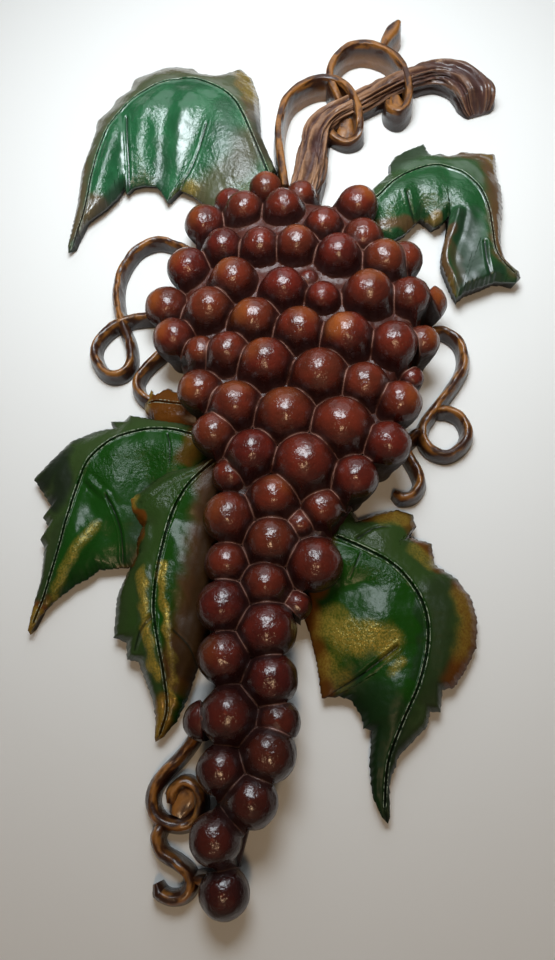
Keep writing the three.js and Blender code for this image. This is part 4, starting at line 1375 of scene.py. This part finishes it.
def vine_skin(name, paint, gilding, low, high, bark=False, inner=0.0):
    """Dark brown lacquer in the grooves, rubbed with ochre gold on the ridges, with painted shade on the side
    walls.
    """
    finish = Finish(name, 0.32, 0.4, 0.15, 0.3)
    ridge, rise, side = map(finish.channel, ("ridge", "rise", "side"))
    cloud = finish.noise(0.012, 4)
    grain = finish.noise(0.0018, 3, 0.6)
    wood = finish.mix(cloud, paint.vine_dark, paint.bark_brown if bark else paint.vine_brown)
    rub = (ridge * 0.8 + cloud * 0.35 + (grain - 0.5) * 0.4) * gilding
    if bark:
        across = finish.node("ShaderNodeSeparateXYZ", None, {"Vector": finish.place})
        rub = rub * (across.ramp(*BARE_END) * 0.3 + 0.75)
    gold = paint.bark_gold if bark else paint.vine_gold
    skin = finish.mix((rub * rise.ramp(low, high)).ramp(0.3, 0.95), wood, gold)
    # Painted shade on the side walls.
    walls = rise.ramp(0.75, 0.3)
    skin = finish.mix(walls * 0.7, skin, paint.side_wall_shade)
    if inner:
        skin = finish.mix(walls * side.ramp(-0.2, -0.8) * (cloud + 0.3) * inner, skin, paint.vine_gold)
    return finish.close(skin, Normal=finish.bump(grain, 0.0003), Roughness=grain * 0.2 + 0.24)


# ------------------------------------------------------------------ settings and operators


def length(label, text, value, low, high):
    return bpy.props.FloatProperty(
        name=label, description=text, default=value, min=low, max=high, unit="LENGTH", precision=4
    )


def colour(label, text, value):
    return bpy.props.FloatVectorProperty(
        name=label, description=text, default=value, size=4, subtype="COLOR", min=0.0, max=1.0
    )


def angle(label, text, degrees):
    return bpy.props.FloatProperty(
        name=label, description=text, default=math.radians(degrees), subtype="ANGLE"
    )


def amount(label, text, value):
    return bpy.props.FloatProperty(name=label, description=text, default=value, min=0)


class PlaqueSizes(bpy.types.PropertyGroup):
    """Sizes that a user would change."""

    fillet: length("Crease softness", "How softly neighbouring grapes run together", 0.0008, 0.0002, 0.003)
    dents: length("Grape dents", "How uneven the skin of a grape is", 0.0003, 0.0, 0.002)
    leaf_groove: length("Midrib groove", "Depth of the groove along a leaf's midrib", 0.0011, 0.0, 0.003)
    leaf_teeth: length("Leaf teeth", "How deep the small teeth of a leaf's edge are", 0.0010, 0.0, 0.004)
    leaf_step: length("Leaf mesh step", "Length of the mesh steps along a leaf", 0.0010, 0.0005, 0.004)
    tendril_half: length("Tendril half width", "Half a tendril's width at its top", 0.0029, 0.0015, 0.005)
    tendril_out: length("Tendril height", "How far a tendril stands off the wall", 0.010, 0.004, 0.02)
    curl_half: length("Curl half width", "Half the thickness of the curled bands", 0.0027, 0.001, 0.005)
    curl_out: length("Curl height", "How far the curls' rims stand off the wall", 0.019, 0.01, 0.03)
    bark_groove: length("Bark groove", "Depth of the grooves along the stem", 0.0042, 0.0, 0.006)


class PlaqueColours(bpy.types.PropertyGroup):
    """Colours of the paint under the lacquer; some of them are painted shade and painted highlights."""

    grape_red: colour("Grape red", "Main burgundy of the grapes", srgb(108, 34, 22))
    grape_deep: colour("Grape deep", "Deeper burgundy in clouds over the grapes", srgb(72, 24, 18))
    grape_brown: colour("Grape brown", "Browner tone of some grapes", srgb(108, 52, 26))
    grape_bloom: colour("Grape bloom", "Orange-brown airbrushed on some grapes", srgb(152, 80, 32))
    # Painted shade in the hollows and on the lower flanks of the grapes.
    hollow_shade: colour("Hollow", "Dark paint in the hollows between grapes", srgb(30, 10, 10))
    # Wear, and a painted highlight along the creases.
    worn_line_and_highlight: colour("Worn line", "Pale pinkish wear along the creases", srgb(176, 134, 120))
    # Painted shade on the side walls.
    side_wall_shade: colour("Side wall", "Grey-brown of the side walls behind the front", srgb(16, 10, 10))
    leaf_green: colour("Leaf green", "Main green of the leaves", srgb(40, 104, 66))
    leaf_deep: colour("Leaf deep green", "Darker green in clouds over the leaves", srgb(28, 80, 50))
    # Stands partly for the dimmer, warmer light on the lower leaves.
    leaf_olive: colour("Leaf olive", "Yellower green of the lower leaves", srgb(22, 62, 8))
    leaf_brown: colour("Leaf brown", "Orange-brown margins of the lower leaves", srgb(92, 52, 14))
    leaf_umber: colour("Leaf umber", "Greyer brown margins of the upper leaves", srgb(86, 80, 58))
    # Gilding, and a painted warm reflection on the lower leaves.
    leaf_gold_and_glint: colour("Leaf gold", "Gold-brown rubbed over the high spots", srgb(162, 136, 54))
    # Dark paint, and painted shade in the grooves and creases.
    leaf_dark: colour("Leaf dark", "Near-black in the grooves", srgb(14, 20, 12))
    # Painted highlights along the veins.
    leaf_bead_highlight: colour("Leaf light", "Pale beads along the veins", srgb(176, 186, 160))
    vine_dark: colour("Vine dark", "Dark brown in the grooves of the vine", srgb(30, 16, 12))
    vine_brown: colour("Vine brown", "Brown of the vine", srgb(74, 40, 22))
    bark_brown: colour("Bark brown", "Purple-brown of the stem", srgb(92, 62, 56))
    bark_gold: colour("Bark gold", "Paler tan rubbed on the ridges of the stem", srgb(152, 112, 80))
    vine_gold: colour("Vine gold", "Ochre gold rubbed on the ridges", srgb(142, 92, 40))


class PlaqueStage(bpy.types.PropertyGroup):
    """The wall, the lights and the camera."""

    lens: bpy.props.FloatProperty(
        name="Lens", description="Focal length for a 36 mm sensor", default=29.25, min=10, max=200
    )
    tilt: angle("Tilt", "How far the camera looks up", 22)
    yaw: angle("Yaw", "How far the camera looks to the left", 2.3)
    lamp: amount("Lamp", "Power of the cool lamp above, in watts", 2.0)
    glow: amount("Glow", "Power of the warm far lamp below, in watts", 10.5)
    sky: amount("Sky", "Power of the wide cool lamp above, in watts", 3.0)
    air: amount("Air", "Strength of the pale light from all round", 0.05)
    wall: colour("Wall", "Colour of the wall", srgb(226, 225, 222))


def skins(context):
    """The finishes, made once and kept."""
    paint = context.scene.plaque_colours
    recipes = {
        "grape_skin": (grape_skin,),
        "upper_leaf_skin": (leaf_skin, 0.85),
        "lower_leaf_skin": (leaf_skin, 0.22),
        "stem_bark": (vine_skin, 0.82, 0.2, 0.6, True),
        "tendril_gilding": (vine_skin, 1.0, 0.4, 0.95),
        "curl_gilding": (vine_skin, 1.0, 0.55, 0.95, False, 0.9),
    }
    made = bpy.data.materials
    return {name: made.get(name) or make(name, paint, *values) for name, (make, *values) in recipes.items()}


class PLAQUE_OT_grapes(bpy.types.Operator):
    """Builds the grapes in three pieces and the filling behind them"""

    bl_idname = "plaque.grapes"
    bl_label = "Grapes"

    def execute(self, context):
        sizes = context.scene.plaque_sizes
        skin = skins(context)["grape_skin"]
        first, second = len(CROWN), len(CROWN) + len(BODY)
        groups = {"crown": range(first), "body": range(first, second), "tail": range(second, len(GRAPES))}
        for key, numbers in groups.items():
            hand_over(grape_group("grapes_" + key, numbers, skin, sizes.fillet / MM, sizes.dents / MM))
        hand_over(filling_mesh("bunch_filling", skin, sizes.fillet / MM))
        return {"FINISHED"}


class PLAQUE_OT_leaves(bpy.types.Operator):
    """Builds the five vine leaves and the torn scrap beside the bunch"""

    bl_idname = "plaque.leaves"
    bl_label = "Leaves"

    def execute(self, context):
        made = skins(context)
        for key, leaf in {**LEAVES, "scrap": SCRAP}.items():
            skin = made["upper_leaf_skin" if key.startswith("top") else "lower_leaf_skin"]
            across_rows = 14 if key == "scrap" else 60
            hand_over(leaf_mesh(key, leaf, skin, across_rows, context.scene.plaque_sizes))
        return {"FINISHED"}


class PLAQUE_OT_stem(bpy.types.Operator):
    """Sweeps the gnarled stem"""

    bl_idname = "plaque.stem"
    bl_label = "Stem"

    def execute(self, context):
        values = {**STEM_STRIP, "Groove depth": context.scene.plaque_sizes.bark_groove}
        hand_over(sweep_strips("vine_stem", [STEM], values, skins(context)["stem_bark"]))
        return {"FINISHED"}


class PLAQUE_OT_curls(bpy.types.Operator):
    """Sweeps the two curled bands, the three cups that close them and the lower ring, and the blade"""

    bl_idname = "plaque.curls"
    bl_label = "Curls"

    def execute(self, context):
        sizes = context.scene.plaque_sizes
        skin = skins(context)["curl_gilding"]
        out, half = sizes.curl_out / MM, sizes.curl_half / MM
        paths = [[(x, z, rise[0] if rise else out, half) for x, z, *rise in line] for line in CURLS.values()]
        hand_over(sweep_strips("vine_curls", paths, CURL_STRIP, skin))
        hand_over(sweep_strips("vine_cup", CUPS, {**CURL_STRIP, "Squareness": 0.7}, skin))
        hand_over(sweep_strips("vine_blade", [BLADE], {**CURL_STRIP, "Squareness": 0.5}, skin))
        return {"FINISHED"}


class PLAQUE_OT_tendrils(bpy.types.Operator):
    """Sweeps the thin tendrils at the sides and at the foot"""

    bl_idname = "plaque.tendrils"
    bl_label = "Tendrils"

    def execute(self, context):
        sizes = context.scene.plaque_sizes
        skin = skins(context)["tendril_gilding"]
        out, half = sizes.tendril_out / MM, sizes.tendril_half / MM
        for side in ("left", "right", "lower"):
            lines = [line for key, line in TENDRILS.items() if key.startswith(side)]
            paths = [tapered([(x, z, out, half) for x, z in line], *TENDRIL_TAPER) for line in lines]
            hand_over(sweep_strips("tendrils_" + side, paths, TENDRIL_STRIP, skin))
        return {"FINISHED"}


class PLAQUE_OT_stage(bpy.types.Operator):
    """Sets up the pale wall and floor, the soft lights and the camera"""

    bl_idname = "plaque.stage"
    bl_label = "Stage"

    def execute(self, context):
        stage = context.scene.plaque_stage
        paint = wall_paint(stage.wall)
        back, low = ((-WALL_HALF, WALL_FACE), (WALL_HALF, WALL_FACE)), FLOOR_LEVEL
        above = [(x, y, WALL_TOP) for x, y in back[::-1]]
        wall = flat_sheet("wall", [(x, y, low) for x, y in back] + above, paint)
        front = [(-WALL_HALF, FLOOR_FRONT, low), (WALL_HALF, FLOOR_FRONT, low)]
        floor = flat_sheet("floor", front + [(x, y, low) for x, y in back[::-1]], paint)
        wall.visible_shadow = False
        for key, power in (("cool", stage.lamp), ("warm", stage.glow), ("sky", stage.sky)):
            make_lamp("lamp_" + key, power, *LAMPS[key])
        context.scene.objects["lamp_cool"].data.spread = COOL_SPREAD
        world = bpy.data.worlds.new("soft_air")
        context.scene.world = world
        world.use_nodes = True
        air = world.node_tree.nodes["Background"].inputs
        air["Color"].default_value = (0.9, 0.95, 1.0, 1.0)
        air["Strength"].default_value = stage.air

        camera = link("camera", bpy.data.cameras.new("camera"))
        turn, rise = stage.yaw, stage.tilt
        right = Vector((math.cos(turn), math.sin(turn), 0.0))
        level = Vector((-math.sin(turn), math.cos(turn), 0.0))
        forward = level * math.cos(rise) + Vector((0.0, 0.0, math.sin(rise)))
        aim = Matrix((right, right.cross(forward), -forward)).transposed().to_4x4()
        camera.matrix_world = Matrix.Translation(CAMERA_PLACE) @ aim
        camera.data.lens = stage.lens
        camera.data.sensor_width = CAMERA_SENSOR
        camera.data.clip_start, camera.data.clip_end = 0.01, 50.0
        context.scene.camera = camera
        context.scene.view_settings.view_transform = "Standard"
        return {"FINISHED"}


def flat_sheet(name, corners, paint):
    """One flat face of the stage."""
    mesh = bpy.data.meshes.new(name)
    mesh.from_pydata(corners, [], [(0, 1, 2, 3)])
    mesh.materials.append(paint)
    return link(name, mesh)


def wall_paint(tint):
    """Plain pale paint that can be seen only from its painted side."""
    paint = Finish("wall_paint", 0.75, 0.0, 0.12, 0.2)
    paint.close(tint)
    clear = paint.node("ShaderNodeBsdfTransparent")
    side = paint.node("ShaderNodeNewGeometry", None, None, "Backfacing")
    painted = Signal(paint, paint.shader.outputs[0])
    either = paint.node("ShaderNodeMixShader", None, {0: side, 1: painted, 2: clear})
    paint.tree.links.new(either.socket, paint.out.inputs[0])
    return paint.material


def make_lamp(name, power, place, target, size, tint):
    """A round soft lamp that points at a place."""
    data = bpy.data.lights.new(name, "AREA")
    data.shape, data.size, data.energy, data.color = "DISK", size, power, tint
    lamp = link(name, data)
    lamp.location = place
    lamp.rotation_mode = "QUATERNION"
    lamp.rotation_quaternion = (Vector(target) - Vector(place)).to_track_quat("-Z", "Y")


class PLAQUE_PT_panel(bpy.types.Panel):
    """Lists the steps and the settings of the plaque"""

    bl_label = "Plaque"
    bl_space_type = "VIEW_3D"
    bl_region_type = "UI"
    bl_category = "Plaque"

    def draw(self, context):
        layout = self.layout
        for step in STEPS:
            layout.operator(step.bl_idname)
        scene = context.scene
        for group in (scene.plaque_sizes, scene.plaque_colours, scene.plaque_stage):
            box = layout.box()
            for key in group.bl_rna.properties.keys():
                if key not in ("rna_type", "name"):
                    box.prop(group, key)


STEPS = (
    PLAQUE_OT_grapes, PLAQUE_OT_leaves, PLAQUE_OT_stem, PLAQUE_OT_curls, PLAQUE_OT_tendrils, PLAQUE_OT_stage,
)
CLASSES = (PlaqueSizes, PlaqueColours, PlaqueStage) + STEPS + (PLAQUE_PT_panel,)


def register():
    for each in CLASSES:
        bpy.utils.register_class(each)
    bpy.types.Scene.plaque_sizes = bpy.props.PointerProperty(type=PlaqueSizes)
    bpy.types.Scene.plaque_colours = bpy.props.PointerProperty(type=PlaqueColours)
    bpy.types.Scene.plaque_stage = bpy.props.PointerProperty(type=PlaqueStage)


def unregister():
    del bpy.types.Scene.plaque_stage
    del bpy.types.Scene.plaque_colours
    del bpy.types.Scene.plaque_sizes
    for each in reversed(CLASSES):
        bpy.utils.unregister_class(each)


def main():
    register()
    for step in ("grapes", "leaves", "stem", "curls", "tendrils", "stage"):
        getattr(bpy.ops.plaque, step)()


if __name__ == "__main__":
    main()
